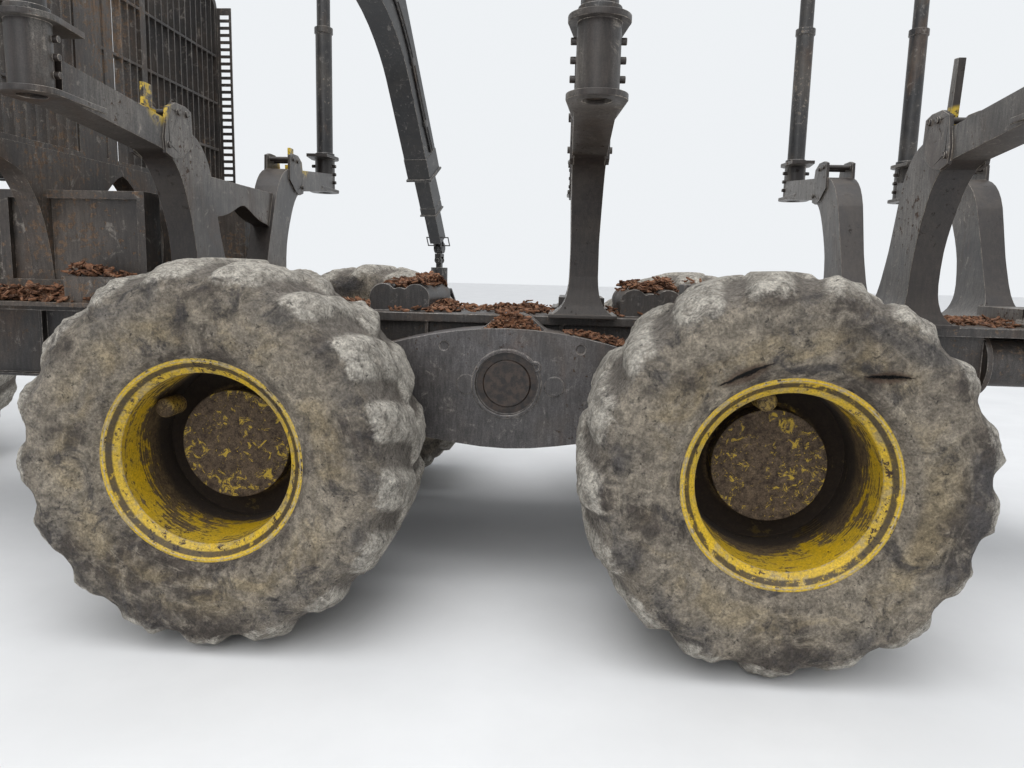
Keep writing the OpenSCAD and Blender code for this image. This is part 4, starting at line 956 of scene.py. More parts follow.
def block(name: str, one: Point, other: Point, rounding: float) -> Piece:
    """A rounded block between two opposite corners, measured from the steering joint.

    Args:
        name: Name of the piece.
        one: One corner.
        other: The corner opposite to it.
        rounding: Width of its rounded edges.

    Returns:
        The new piece.
    """
    a, b = at(*one), at(*other)
    size = Vector([abs(low - high) for low, high in zip(a, b)])
    piece = added(name, bpy.ops.mesh.primitive_cube_add, size=1.0, location=(a + b) / 2, scale=size)
    apply(piece, "BEVEL", width=rounding, segments=3)
    return smooth(piece)


def puck(name: str, middle: Vector, along: Vector, radius: float, depth: float, rounding: float) -> Piece:
    """A short rounded cylinder, such as a lens, a bolt or a boss.

    Args:
        name: Name of the piece.
        middle: Its middle in the frame.
        along: Direction of its axis.
        radius: Its radius.
        depth: Its length along the axis.
        rounding: Width of its rounded edges.

    Returns:
        The new piece.
    """
    turn = along.to_track_quat("Z", "Y").to_euler()
    piece = added(name, bpy.ops.mesh.primitive_cylinder_add, vertices=28, radius=radius, depth=depth,
                  location=middle, rotation=turn)
    apply(piece, "BEVEL", width=rounding, segments=2, limit_method="ANGLE")
    return smooth(piece)


def joined(name: str, pieces: list[Piece]) -> Piece:
    """Several pieces as one.

    Args:
        name: Name of the piece.
        pieces: What it is joined from.

    Returns:
        The joined piece.
    """
    select_only(*pieces)
    bpy.ops.object.join()
    pieces[0].name = name
    return pieces[0]


def place(piece: Piece, material: bpy.types.Material, slot: str, body: str, node: str | None = None) -> Piece:
    """Coats a piece and puts it on its body.

    Args:
        piece: The piece.
        material: Its finish.
        slot: The record's material slot; not used.
        body: The body that carries it.
        node: The node that it stands for, if any.

    Returns:
        The piece.
    """
    piece.data.materials.clear()
    piece.data.materials.append(material)
    if node:
        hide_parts(node)
    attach(piece, body)
    return piece


# Steel, plastic and glass

# Width of the rounding of each node's edges, metres
EDGE_WIDTH = {
    "rear_bogies": 0.004, "front_bogies": 0.004, "bunks": 0.0025, "headboard": 0.0012, "rear_frame": 0.005,
    "crane_base": 0.006, "front_frame": 0.006, "front_guard": 0.006, "centre_joint": 0.006,
    "crane_pillar": 0.005, "main_boom": 0.008, "jib_boom": 0.008, "extension_1": 0.006,
    "extension_2": 0.004, "tip_link": 0.004, "tip_hanger": 0.004, "rotator_head": 0.004,
    "grapple_jaw_a": 0.004, "grapple_jaw_b": 0.004, "hood": 0.0035, "cab_shell": 0.008, "cab_door": 0.006,
    "cab_roof": 0.012, "fenders": 0.003, "work_lamps": 0.006, "engine_block": 0.012,
    "cab_steps": 0.004, "stakes": 0.003, "grille": 0.0015, "lift_barrel": 0.002, "jib_barrel": 0.0012,
}

# Nodes with many small openings, whose triangles stay as they are
FINE_WORK = {"headboard", "bunks", "fenders", "hood", "cab_steps", "grille", "jib_barrel"}


@dataclass
class Solids(Assembly):
    """The pieces whose form is the frame's: faces merged, edges rounded and rubbed, finish laid on.

    Attributes:
        merge: Points closer than this are one, metres.
        flat: Faces that turn less than this are one, degrees.
        sharp: Edges that turn more than this are rounded, degrees.
    """

    merge: float = 2e-5
    flat: float = 0.4
    sharp: float = 34.0

    def build(self) -> list[Piece]:
        """Makes a finished copy of each node."""
        made = []
        for finish, nodes in NODE_FINISH.items():
            for node in nodes:
                piece = self.merged(node)
                if node in EDGE_WIDTH:
                    self.round_edges(piece, EDGE_WIDTH[node], node in FINE_WORK)
                else:
                    smooth(piece, 32.0)
                made.append(place(piece, self.shop.get(finish), SLOT_OF[node], BODY_OF[node], node))
        return made

    def merged(self, node: str) -> Piece:
        """A copy of a node with its triangles joined, into whole faces unless it is fine work.

        Args:
            node: The node.

        Returns:
            The copy.
        """
        select_only(frame["nodes"][node])
        bpy.ops.object.duplicate()
        piece = bpy.context.active_object
        piece.name = f"finished_{node}"
        for key in list(piece.keys()):
            del piece[key]
        with editing(piece):
            bpy.ops.mesh.remove_doubles(threshold=self.merge)
            if node not in FINE_WORK:
                bpy.ops.mesh.dissolve_limited(angle_limit=math.radians(self.flat))
        return piece

    def round_edges(self, piece: Piece, width: float, pointed: bool = False) -> None:
        """Rounds the sharp edges and marks them, 1 along the middle of each rounding, as edge.

        Args:
            piece: The piece.
            width: Width of the rounding, metres.
            pointed: Whether the roundings meet in a point, where there is no room for an arc.
        """
        select_only(piece)
        piece.data.materials.clear()
        for _ in range(2):
            piece.data.materials.append(None)
        apply(piece, "BEVEL", width=width, segments=2, limit_method="ANGLE",
              angle_limit=math.radians(self.sharp), use_clamp_overlap=False,
              miter_outer="MITER_SHARP" if pointed else "MITER_ARC", material=1)
        plain = np.zeros(len(piece.data.vertices), bool)
        for face in piece.data.polygons:
            if face.material_index == 0:
                plain[list(face.vertices)] = True
            face.material_index = 0
        mark_points(piece, "edge", ~plain)
        smooth(piece, 60.0)
        apply(piece, "WEIGHTED_NORMAL", weight=100, keep_sharp=True)


# Wheels


def smooth_step(low: float, high: float, value: np.ndarray) -> np.ndarray:
    """0 below low, 1 above high, and a smooth rise between."""
    t = np.clip((value - low) / (high - low), 0.0, 1.0)
    return t * t * (3 - 2 * t)


@dataclass
class Tyre:
    """One worn forestry tyre, shaped from a ring by its section and its lugs.

    Attributes:
        name: Name of the piece.
        hub: Middle of the wheel in the frame.
        side: 1 on the machine's left, -1 on its right.
        outer: Radius over the lugs.
        seed: Moves the wear, so that no two tyres match.
        slits: Cuts in the outer wall.
        steps: Points round the tyre.
        ribs: Points round its section.
        half_width: Half its width over the walls.
        widest: Radius where the section is widest.
        seat: Radius of the bead's seat.
        lip: Radius where the wall leaves the rim.
        lip_face: Sideways place of that lip.
        lug_depth: Height of a worn lug.
        lugs: Lugs in each of the two rows.
        lean: How far a lug's outer end trails its inner end, degrees.
        lumps: Scale and height of each size of lump in the rubber.
    """

    name: str
    hub: Vector
    side: int
    outer: float
    seed: float
    slits: tuple[Slit, ...]
    steps: int
    ribs: int
    half_width: float = 0.350
    widest: float = 0.54
    seat: float = 0.338
    lip: float = 0.372
    lip_face: float = 0.316
    lug_depth: float = 0.027
    lugs: int = 17
    lean: float = 7.5
    lumps: tuple[tuple[float, float], ...] = ((7.0, 0.006), (22.0, 0.005), (55.0, 0.002))

    def section(self) -> tuple[np.ndarray, np.ndarray]:
        """The closed section of the carcass, lug bottoms included.

        Returns:
            Radius and sideways place of each rib, from the inner face over the crown.
        """
        base = self.outer - self.lug_depth
        t = np.linspace(0, math.pi, 400)
        power = 2 / 3.0
        crown_r = self.widest + (base - self.widest) * np.sin(t) ** power
        crown_a = self.half_width * np.sign(np.cos(t)) * np.abs(np.cos(t)) ** power
        u = np.linspace(0, 1, 60)[1:]
        wall_r = self.widest - (self.widest - self.lip) * u
        wall_a = self.lip_face + (self.half_width - self.lip_face) * np.sqrt(1 - u ** 2)
        bead_r = np.array([self.lip - 0.012, self.seat + 0.006, self.seat])
        bead_a = np.array([self.lip_face - 0.012, 0.300, 0.275])
        r = np.concatenate([bead_r[::-1], wall_r[::-1], crown_r, wall_r, bead_r])[::-1]
        a = np.concatenate([bead_a[::-1], wall_a[::-1], crown_a, -wall_a, -bead_a])[::-1]
        run = np.concatenate([[0], np.cumsum(np.hypot(np.diff(r), np.diff(a)))])
        at_run = np.linspace(0, run[-1], self.ribs)
        ribs_r, ribs_a = np.interp(at_run, run, r), np.interp(at_run, run, a)
        return np.append(ribs_r, ribs_r[0]), np.append(ribs_a, ribs_a[0])

    def lug_height(self, turn: np.ndarray, r: np.ndarray, a: np.ndarray) -> np.ndarray:
        """Share of the full lug height at each point, 0 to 1.

        Args:
            turn: Angle from straight down, degrees.
            r: Radius of the carcass there.
            a: Sideways place, positive outwards.

        Returns:
            The share, with a rounded top and a notch between lugs.
        """
        pitch = 360 / self.lugs
        best = np.zeros_like(turn)
        for way, phase in ((1, 0.0), (-1, pitch / 3)):
            v = way * a
            lead = self.lean * (1 - np.clip(v, 0, 0.35) / 0.35)
            count = (turn - phase - lead) / pitch + 0.5
            half = 0.30 + 0.05 * np.sin(np.floor(count) * 2.4 + self.seed)
            along = 1 - smooth_step(half - 0.15, half + 0.13, np.abs(count % 1.0 - 0.5))
            best = np.maximum(best, along * smooth_step(-0.055, -0.005, v))
        return best * smooth_step(self.outer - 0.140, self.outer - 0.045, r)

    def build(self) -> Piece:
        """Models the tyre.

        Returns:
            The tyre, with the share of lug height as its attribute lug.
        """
        piece = added(self.name, bpy.ops.mesh.primitive_grid_add, x_subdivisions=self.steps,
                      y_subdivisions=self.ribs, size=1.0)
        across, along, _ = points_of(piece).T + 0.5
        ribs_r, ribs_a = self.section()
        rib = np.rint(along * self.ribs).astype(int)
        turn = np.rint(across * self.steps) % self.steps * (360 / self.steps)
        r, a = ribs_r[rib], ribs_a[rib]
        tip = self.lug_height(turn, r, a)
        out_r, out_a = self.outward(r, a)
        angle = np.radians(turn)
        rough = self.wear(angle, r, a)
        thick = smooth_step(self.outer - 0.115, self.outer - 0.05, r) * 0.010 + self.lug_depth * 0.77
        lift = tip * thick * (1 + 40 * rough) + rough * smooth_step(0.38, 0.42, r)
        lift = lift + self.ridges(r) - self.cuts(turn, r, a)
        r = np.minimum(r + out_r * lift, self.outer)
        a = np.clip(a + out_a * lift, -self.half_width, self.half_width)
        local = np.stack([r * np.sin(angle), a * self.side, -r * np.cos(angle)], 1)
        move_points(piece, local + np.array(self.hub))
        mark_points(piece, "lug", tip)
        with editing(piece):
            bpy.ops.mesh.remove_doubles(threshold=1e-5)
            bpy.ops.mesh.normals_make_consistent(inside=False)
        bpy.ops.object.shade_smooth()
        return piece

    def outward(self, r: np.ndarray, a: np.ndarray) -> tuple[np.ndarray, np.ndarray]:
        """Direction away from the middle of the rubber, for each point of the section.

        Args:
            r: Radius of each point.
            a: Sideways place of each point, positive outwards.

        Returns:
            Its share along the radius, and its share sideways.
        """
        dr = np.clip((r - self.widest) / (self.outer - self.widest), 0, 1) ** 3
        da = np.sign(a) * np.clip(np.abs(a) / self.half_width, 0, 1) ** 6
        size = np.maximum(np.hypot(dr, da), 1e-6)
        return dr / size, da / size

    def wear(self, angle: np.ndarray, r: np.ndarray, a: np.ndarray) -> np.ndarray:
        """Lumps and scuffs of the rubber, in metres, up to about 8 mm.

        Args:
            angle: Turn of each point round the axle, radians.
            r: Radius of each point.
            a: Sideways place of each point, positive outwards.

        Returns:
            Height of the rubber at each point.
        """
        out = np.zeros(len(r))
        for i, (t, rad, side) in enumerate(zip(angle, r, a)):
            p = Vector((rad * math.sin(t) + self.seed, side, rad * math.cos(t) - self.seed))
            out[i] = sum(noise.noise(p * scale) * height for scale, height in self.lumps)
        tread = smooth_step(self.outer - 0.105, self.outer - 0.045, r)
        return out * smooth_step(0.375, 0.42, r) * (0.35 + 0.65 * tread)

    def ridges(self, r: np.ndarray) -> np.ndarray:
        """Moulded rings of the side wall: each with its radius, width and height."""
        rings = ((0.398, 0.007, 0.0035), (0.462, 0.004, 0.0018), (self.outer - 0.112, 0.005, 0.0022))
        return sum(height * np.exp(-((r - radius) / width) ** 2) for radius, width, height in rings)

    def cuts(self, turn: np.ndarray, r: np.ndarray, a: np.ndarray) -> np.ndarray:
        """Depth of the slits in the outer side wall.

        Args:
            turn: Angle of each point from straight down, degrees.
            r: Radius of each point.
            a: Sideways place of each point, positive outwards.

        Returns:
            The depth at each point.
        """
        depth = np.zeros_like(r)
        for slit in self.slits:
            away = ((turn - slit.turn + 180) % 360 - 180) * math.pi / 180 * slit.radius
            share = away / (slit.length / 2)
            line = slit.radius + slit.lean * share * 0.5
            shown = np.clip(1 - share ** 2, 0, 1) * (a > 0.1)
            gap = np.exp(-((r - line) / 0.0075) ** 2)
            rise = np.exp(-((r - line + 0.016) / 0.010) ** 2)
            depth += (0.030 * gap - 0.006 * rise) * shown
        return depth


@dataclass
class Wheel:
    """Where one wheel stands.

    Attributes:
        key: Its unit, side and number, as in the nodes' names.
        index: Its place in the list of wheels.
        hub: Its middle in the frame.
        side: 1 on the machine's left, -1 on its right.
    """

    key: str
    index: int
    hub: Vector = field(init=False)
    side: int = field(init=False)

    def __post_init__(self) -> None:
        """Finds its middle and its side from the frame."""
        self.hub = sum(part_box(f"rim_{self.key}"), Vector()) / 2
        self.side = 1 if self.hub.y > ORIGIN.y else -1
        self.hub.y = sum(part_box(f"tyre_{self.key}"), Vector()).y / 2


@dataclass
class Wheels(Assembly):
    """Eight tyres and rims, with the valve guard in each dish.

    Attributes:
        cut_tyre: The tyre with slits in its wall.
        slits: Those slits.
        hero_tyres: The tyres nearest to the camera, which get finer meshes.
        valve_turns: Angle from straight up of each axle's valve, degrees.
        valve_reach: Distance of a valve from its hub.
    """

    cut_tyre: str = "rear_l2"
    slits: tuple[Slit, ...] = (Slit(154.5, 0.412, 0.21, 0.0), Slit(215.0, 0.462, 0.14, 0.10))
    hero_tyres: tuple[str, ...] = ("rear_l1", "rear_l2")
    valve_turns: tuple[float, float] = (54, 12)
    valve_reach: float = 0.262

    def build(self) -> list[Piece]:
        """Models and dresses every wheel."""
        made = []
        for index, (unit, side, number) in enumerate(itertools.product(("rear", "front"), "lr", (1, 2))):
            wheel = Wheel(f"{unit}_{side}{number}", index)
            made += [self.tyre(wheel), self.rim(wheel), self.valve_guard(wheel)]
        return made

    def tyre(self, wheel: Wheel) -> Piece:
        """One tyre with its mud.

        Args:
            wheel: Where it stands.

        Returns:
            The new piece.
        """
        key = wheel.key
        slits = self.slits if key == self.cut_tyre else ()
        steps, ribs = (476, 104) if key in self.hero_tyres else (272, 72)
        outer = wheel.hub.z - 0.0006
        tyre = Tyre(f"worn_tyre_{key}", wheel.hub, wheel.side, outer, wheel.index * 3.1, slits, steps, ribs)
        mud = MuddyTyre(tuple(wheel.hub), wheel.index * 2.3, outer - 0.056, slits)
        return place(tyre.build(), mud.build(f"mud_{key}"), "tyre_rubber", f"wheel_{key}", f"tyre_{key}")

    def rim(self, wheel: Wheel) -> Piece:
        """One rim with its hub, edges rounded.

        Args:
            wheel: Where it stands.

        Returns:
            The new piece.
        """
        key = wheel.key
        paint = ChippedRim(tuple(wheel.hub), wheel.side, wheel.index * 1.7).build(f"rim_paint_{key}")
        solids = Solids(self.shop)
        piece = solids.merged(f"rim_{key}")
        solids.round_edges(piece, 0.005)
        return place(piece, paint, "yellow_rim_paint", f"wheel_{key}", f"rim_{key}")

    def valve_guard(self, wheel: Wheel) -> Piece:
        """The round boss over the valve, inside the dish near the top.

        Args:
            wheel: Where it stands.

        Returns:
            The new piece.
        """
        turn, reach = math.radians(self.valve_turns[wheel.index % 2]), self.valve_reach
        spot = wheel.hub + Vector((math.sin(turn) * reach, wheel.side * 0.09, math.cos(turn) * reach))
        piece = added(f"valve_guard_{wheel.key}", bpy.ops.mesh.primitive_cylinder_add, vertices=28,
                      radius=0.036, depth=0.12, location=spot, rotation=(math.pi / 2, 0, 0))
        apply(piece, "BEVEL", width=0.016, segments=4)
        return place(smooth(piece), self.shop.get("guard_mud"), "yellow_rim_paint", f"wheel_{wheel.key}")


# Cab


@dataclass
class CabTrim(Assembly):
    """Seals, rails, mirrors, wiper, lamp glasses and the door's handle.

    Attributes:
        wall: Half width of the cab.
        seal: Half the thickness of a window seal.
        rail: Half the thickness of a grab rail.
    """

    wall: float = 0.85
    seal: float = 0.011
    rail: float = 0.014

    def build(self) -> list[Piece]:
        """Makes the trim."""
        rubber, black = ("black_moulding", "black_plastic"), ("stake_black", "black_frame_paint")
        chrome, lens = ("rod_chrome", "rod_chrome"), ("lamp_glass", "window_glass")
        trim = ((self.door_seal, rubber, "left_door"), (self.door_handle, black, "left_door"),
                (self.window_seals, rubber, "front_unit"), (self.grab_rails, black, "front_unit"),
                (self.wiper, black, "front_unit"), (self.mirror_arms, black, "front_unit"),
                (self.mirror_faces, chrome, "front_unit"), (self.lamp_glasses, lens, "front_unit"))
        return [place(model(), self.shop.get(finish), slot, body) for model, (finish, slot), body in trim]

    def loop(self, name: str, corners: list[Point]) -> Piece:
        """A seal round a window, its corners rounded.

        Args:
            name: Name of the piece.
            corners: The window's corners, measured from the steering joint.

        Returns:
            The new piece.
        """
        ring = [at(*corner) for corner in corners]
        path = []
        for before, corner, after in zip(ring[-1:] + ring[:-1], ring, ring[1:] + ring[:1]):
            for end in (before, after):
                path.append(corner + (end - corner).normalized() * 0.05)
        return tube(name, path, self.seal, closed=True)

    def door_seal(self) -> Piece:
        """The seal round the door's glass."""
        outline = ((1.45, 1.90), (2.33, 1.90), (2.33, 2.39), (2.25, 3.20), (1.45, 3.20))
        return self.loop("door_seal", [(x, self.wall, z) for x, z in outline])

    def window_seals(self) -> Piece:
        """The seals of the fixed side, rear and front windows.

        Returns:
            The new piece.
        """
        quarter = ((0.94, 1.90), (1.29, 1.90), (1.29, 3.29), (0.96, 3.29))
        side = ((1.36, 1.90), (2.42, 1.90), (2.42, 2.40), (2.33, 3.29), (1.36, 3.29))
        windows = [[(x, y, z) for x, z in outline]
                   for outline, y in ((quarter, self.wall), (quarter, -self.wall), (side, -self.wall))]
        half = self.wall - 0.09
        rear = ((-half, 1.80), (half, 1.80), (half, 3.29), (-half, 3.29))
        windows.append([(0.80 + 0.04 * (z - 1.44) / 1.94, y, z) for y, z in rear])
        front = ((-half, 2.00), (half, 2.00), (half, 2.30), (half, 3.29), (-half, 3.29), (-half, 2.30))
        windows.append([(2.62 - max(0.0, z - 2.30) * 0.102, y, z) for y, z in front])
        return joined("window_seals", [self.loop("seal", window) for window in windows])

    def door_handle(self) -> Piece:
        """The pull of the door with its plate and lock.

        Returns:
            The new piece.
        """
        y = self.wall
        path = ((-0.004, 1.62), (0.055, 1.62), (0.055, 1.64), (0.055, 1.98), (0.055, 2.00), (-0.004, 2.00))
        pull = bar("pull", [(1.41, y + out, z) for out, z in path], self.rail)
        plate = block("plate", (1.392, y - 0.004, 1.50), (1.442, y + 0.012, 1.60), 0.005)
        lock = puck("lock", at(1.417, y + 0.012, 1.55), Vector((0, 1, 0)), 0.014, 0.014, 0.002)
        return joined("door_handle", [pull, plate, lock])

    def grab_rails(self) -> Piece:
        """Upright rails at the cab's rear corners and rails up the front steps.

        Returns:
            The new piece.
        """
        upright = ((0.0, 1.62), (0.06, 1.62), (0.06, 1.65), (0.06, 2.55), (0.06, 2.58), (0.0, 2.58))
        hoop = ((3.11, 0.66, 1.33), (3.11, 0.74, 1.36), (3.11, 0.74, 1.80), (3.13, 0.74, 1.84),
                (3.41, 0.74, 1.84), (3.43, 0.74, 1.80), (3.43, 0.74, 1.36), (3.43, 0.66, 1.33))
        rails = []
        for side in (-1, 1):
            rails.append(bar("rail", [(0.90, side * (self.wall + out), z) for out, z in upright], self.rail))
            rails.append(bar("rail", [(x, side * y, z) for x, y, z in hoop], self.rail))
        return joined("grab_rails", rails)

    def wiper(self) -> Piece:
        """The wiper of the front window, parked along its foot.

        Returns:
            The new piece.
        """
        knob = puck("knob", at(2.628, -0.45, 1.97), Vector((1, 0, 0)), 0.026, 0.03, 0.004)
        arm = bar("arm", [(2.640, -0.45, 1.97), (2.645, -0.30, 1.99), (2.636, 0.05, 2.05)], 0.007)
        blade = bar("blade", [(2.622, -0.36, 2.05), (2.626, 0.0, 2.062), (2.622, 0.42, 2.05)], 0.009)
        return joined("front_wiper", [knob, arm, blade])

    def mirror_arms(self) -> Piece:
        """Arms and shells of the two mirrors.

        Returns:
            The new piece.
        """
        path = ((2.40, 0.86, 3.22), (2.52, 0.98, 3.22), (2.58, 1.04, 3.20), (2.58, 1.04, 2.62),
                (2.52, 0.98, 2.60), (2.44, 0.85, 2.60))
        parts = []
        for side in (-1, 1):
            parts.append(bar("arm", [(x, side * y, z) for x, y, z in path], 0.011))
            parts.append(block("shell", (2.575, side * 0.965, 2.72), (2.615, side * 1.115, 3.08), 0.014))
        return joined("mirror_arms", parts)

    def mirror_faces(self) -> Piece:
        """The two mirror glasses, which face back.

        Returns:
            The new piece.
        """
        faces = [block("glass", (2.571, side * 0.978, 2.735), (2.577, side * 1.102, 3.065), 0.002)
                 for side in (-1, 1)]
        return joined("mirror_faces", faces)

    def lamp_glasses(self) -> Piece:
        """The glasses of the eight roof lamps, four to the front and four to the rear.

        Returns:
            The new piece.
        """
        spots = itertools.product((-0.70, -0.42, 0.42, 0.70), ((2.47, 1), (0.85, -1)))
        lamps = [puck("glass", at(x, y, 3.495), Vector((way, 0, 0)), 0.046, 0.012, 0.004)
                 for y, (x, way) in spots]
        return joined("lamp_glasses", lamps)


@dataclass
class Seat(Assembly):
    """The operator's seat: two sewn pads on a plain frame with arm rests.

    Attributes:
        cuts: How finely a pad is divided.
        seam: Width of a sewn channel, as a share of the pad's half width.
        seam_depth: Depth of a sewn channel.
    """

    cuts: int = 27
    seam: float = 0.045
    seam_depth: float = 0.012

    def build(self) -> list[Piece]:
        """Makes the seat."""
        made = [self.pad("seat_cushion", at(1.60, 0, 1.85), Vector((0.235, 0.245, 0.062)), 0.0),
                self.pad("seat_back", at(1.312, 0, 2.22), Vector((0.345, 0.225, 0.058)), -94.6)]
        for piece in made:
            place(piece, self.shop.get("seat_cloth"), "seat_fabric", "front_unit", "operator_seat")
        made.append(place(self.stand(), self.shop.get("black_moulding"), "seat_fabric", "front_unit"))
        return made

    def pad(self, name: str, middle: Vector, half: Vector, tilt: float) -> Piece:
        """A crowned pad with two sewn channels along it.

        Args:
            name: Name of the piece.
            middle: Its middle in the frame.
            half: Half its length, width and thickness.
            tilt: Turn about the machine's cross axis, degrees.

        Returns:
            The new pad.
        """
        piece = added(name, bpy.ops.mesh.primitive_cube_add, size=2.0)
        with editing(piece):
            bpy.ops.mesh.subdivide(number_cuts=self.cuts)
        u, v, w = points_of(piece).astype(float).T
        crown = (1 - np.abs(u) ** 5) ** 0.5 * (1 - np.abs(v) ** 5) ** 0.5
        bulge = 0.90 + 0.10 * (1 - 0.35 * w ** 2)
        x = u * (bulge - 0.03 * (1 - v ** 2)) * half.x
        y = v * (bulge - 0.03 * (1 - u ** 2)) * half.y
        channel = sum(np.exp(-((v - line) / self.seam) ** 2) for line in (-0.5, 0.5))
        z = w * (0.42 + 0.58 * crown) * half.z - (w > 0.9) * channel * self.seam_depth * crown
        turn = np.array(Matrix.Rotation(math.radians(tilt), 3, "Y"))
        move_points(piece, np.stack([x, y, z], 1) @ turn.T + np.array(middle))
        apply(piece, "SUBSURF", levels=1, render_levels=1)
        bpy.ops.object.shade_smooth()
        return piece

    @staticmethod
    def stand() -> Piece:
        """Pedestal, pan, back shell and arm rests.

        Returns:
            The new piece.
        """
        parts = [puck("post", at(1.55, 0, 1.632), Vector((0, 0, 1)), 0.125, 0.262, 0.01),
                 block("pan", (1.345, -0.24, 1.760), (1.82, 0.24, 1.803), 0.012)]
        for side in (-1, 1):
            parts.append(block("rest", (1.352, side * 0.282, 2.022), (1.798, side * 0.378, 2.078), 0.024))
            parts.append(block("upright", (1.355, side * 0.242, 1.790), (1.435, side * 0.358, 2.030), 0.015))
        return joined("seat_stand", parts)


# Crane


@dataclass
class CraneLines(Assembly):
    """Pipes clamped along the boom and the jib.

    Attributes:
        azimuth: Compass angle of the crane, degrees.
        pillar: Place of the slewing axis behind the steering joint.
        pipe: Half the thickness of a pipe.
        gap: Distance between the two pipes of a line.
    """

    azimuth: float = 258.0
    pillar: float = -0.55
    pipe: float = 0.013
    gap: float = 0.05

    def spot(self, flat: Vector, off: float) -> Vector:
        """A point of the crane's plane: distance from the slewing axis and height, and place across."""
        c, s = math.cos(math.radians(self.azimuth)), math.sin(math.radians(self.azimuth))
        return at(self.pillar, 0, flat.y) + Vector((c, s, 0)) * flat.x + Vector((-s, c, 0)) * off

    def run(self, name: str, path: list[Vector], off: float) -> Piece:
        """Two pipes side by side along a path of the crane's plane, with clamps over them.

        Args:
            name: Name of the piece.
            path: Distance from the slewing axis and height of each of its points.
            off: Place of the pipes across the crane.

        Returns:
            The new piece.
        """
        ahead = [b - a for a, b in zip(path, path[1:])]
        ahead.append(ahead[-1])
        side = 1 if off > 0 else -1
        parts = []
        for shift in (-self.gap / 2, self.gap / 2):
            points = [self.spot(p + Vector((-way.y, way.x)).normalized() * shift, off + side * self.pipe)
                      for p, way in zip(path, ahead)]
            parts.append(tube("pipe", points, self.pipe))
        outwards = self.spot(Vector((0, 0)), side) - self.spot(Vector((0, 0)), 0)
        for p in path[1:-1:2]:
            middle = self.spot(p, off + side * self.pipe * 0.9)
            parts.append(puck("clamp", middle, outwards, self.gap * 0.95, self.pipe * 2.4, 0.004))
        return joined(name, parts)

    def middle_line(self, node: str, start: Vector, end: Vector, count: int) -> list[Vector]:
        """Points midway between the upper and lower faces of a boom, from start to end.

        Args:
            node: The boom's node.
            start: Distance and height where the line starts.
            end: Distance and height where it ends.
            count: How many points.

        Returns:
            Distance and height of each point.
        """
        skin = surface(node)
        across = Vector((-(end - start).y, (end - start).x)).normalized()
        line = []
        for step in range(count):
            p = start.lerp(end, step / (count - 1))
            reach = 0.0
            for way in (1, -1):
                origin = self.spot(p + across * way * 2.0, 0)
                hit = skin.ray_cast(origin, (self.spot(p, 0) - origin).normalized())
                reach += way * (2.0 - hit[3]) if hit[0] is not None else 0.0
            line.append(p + across * reach / 2)
        return line

    def build(self) -> list[Piece]:
        """Makes the lines."""
        foot, elbow = Vector((0.2, 3.5)), Vector((3.5, 5.3))
        boom = [foot.lerp(elbow, t) for t in (0.14, 0.28, 0.42, 0.56, 0.70, 0.84)]
        jib = self.middle_line("jib_boom", Vector((4.02, 4.75)), Vector((6.05, 2.62)), 9)
        lines = (("boom_pipes_", boom, -0.13, "boom"), ("boom_pipesl", boom, 0.13, "boom"),
                 ("jib_pipes", jib, -0.15, "jib"))
        return [place(self.run(name, path, off), self.shop.get("stake_black"), "black_frame_paint", body)
                for name, path, off, body in lines]


# Bark


@dataclass(frozen=True)
class Heap:
    """Bark and twigs caught on the machine.

    Attributes:
        name: Name of the piece.
        low: Lowest corner of the place that it fills, from the steering joint.
        high: Highest corner.
        doublings: How often one flake is doubled: 8 gives 256 flakes.
        depth: How high it lies in its middle.
        on: The node that it lies on.
    """

    name: str
    low: Point
    high: Point
    doublings: int
    depth: float
    on: str = "rear_frame"


HEAPS = (
    Heap("bark_by_front_bunk", (-2.90, -0.40, 1.10), (-2.24, 0.42, 1.30), 9, 0.03),
    Heap("bark_between_clamps", (-3.30, -0.40, 1.10), (-2.90, 0.42, 1.30), 9, 0.05),
    Heap("bark_by_second_bunk", (-3.80, -0.40, 1.10), (-3.30, 0.42, 1.30), 8, 0.03),
    Heap("bark_past_second_bunk", (-4.65, -0.42, 1.10), (-3.92, 0.44, 1.35), 9, 0.05),
    Heap("bark_on_tail", (-6.40, -0.42, 1.10), (-5.45, 0.44, 1.30), 9, 0.02),
    Heap("bark_in_left_pocket", (-3.705, 0.606, 1.02), (-3.435, 0.686, 1.22), 9, 0.11, "rear_bogies"),
    Heap("bark_in_right_pocket", (-3.705, -0.686, 1.02), (-3.435, -0.606, 1.22), 8, 0.11, "rear_bogies"),
    Heap("bark_on_left_bogie", (-4.20, 0.52, 1.00), (-3.80, 0.69, 1.22), 8, 0.02, "rear_bogies"),
    Heap("bark_on_left_shelf", (-1.92, 0.60, 1.10), (-1.00, 0.78, 1.36), 9, 0.07, "headboard"),
    Heap("bark_on_right_shelf", (-1.92, -0.78, 1.10), (-1.00, -0.60, 1.36), 8, 0.05, "headboard"),
)


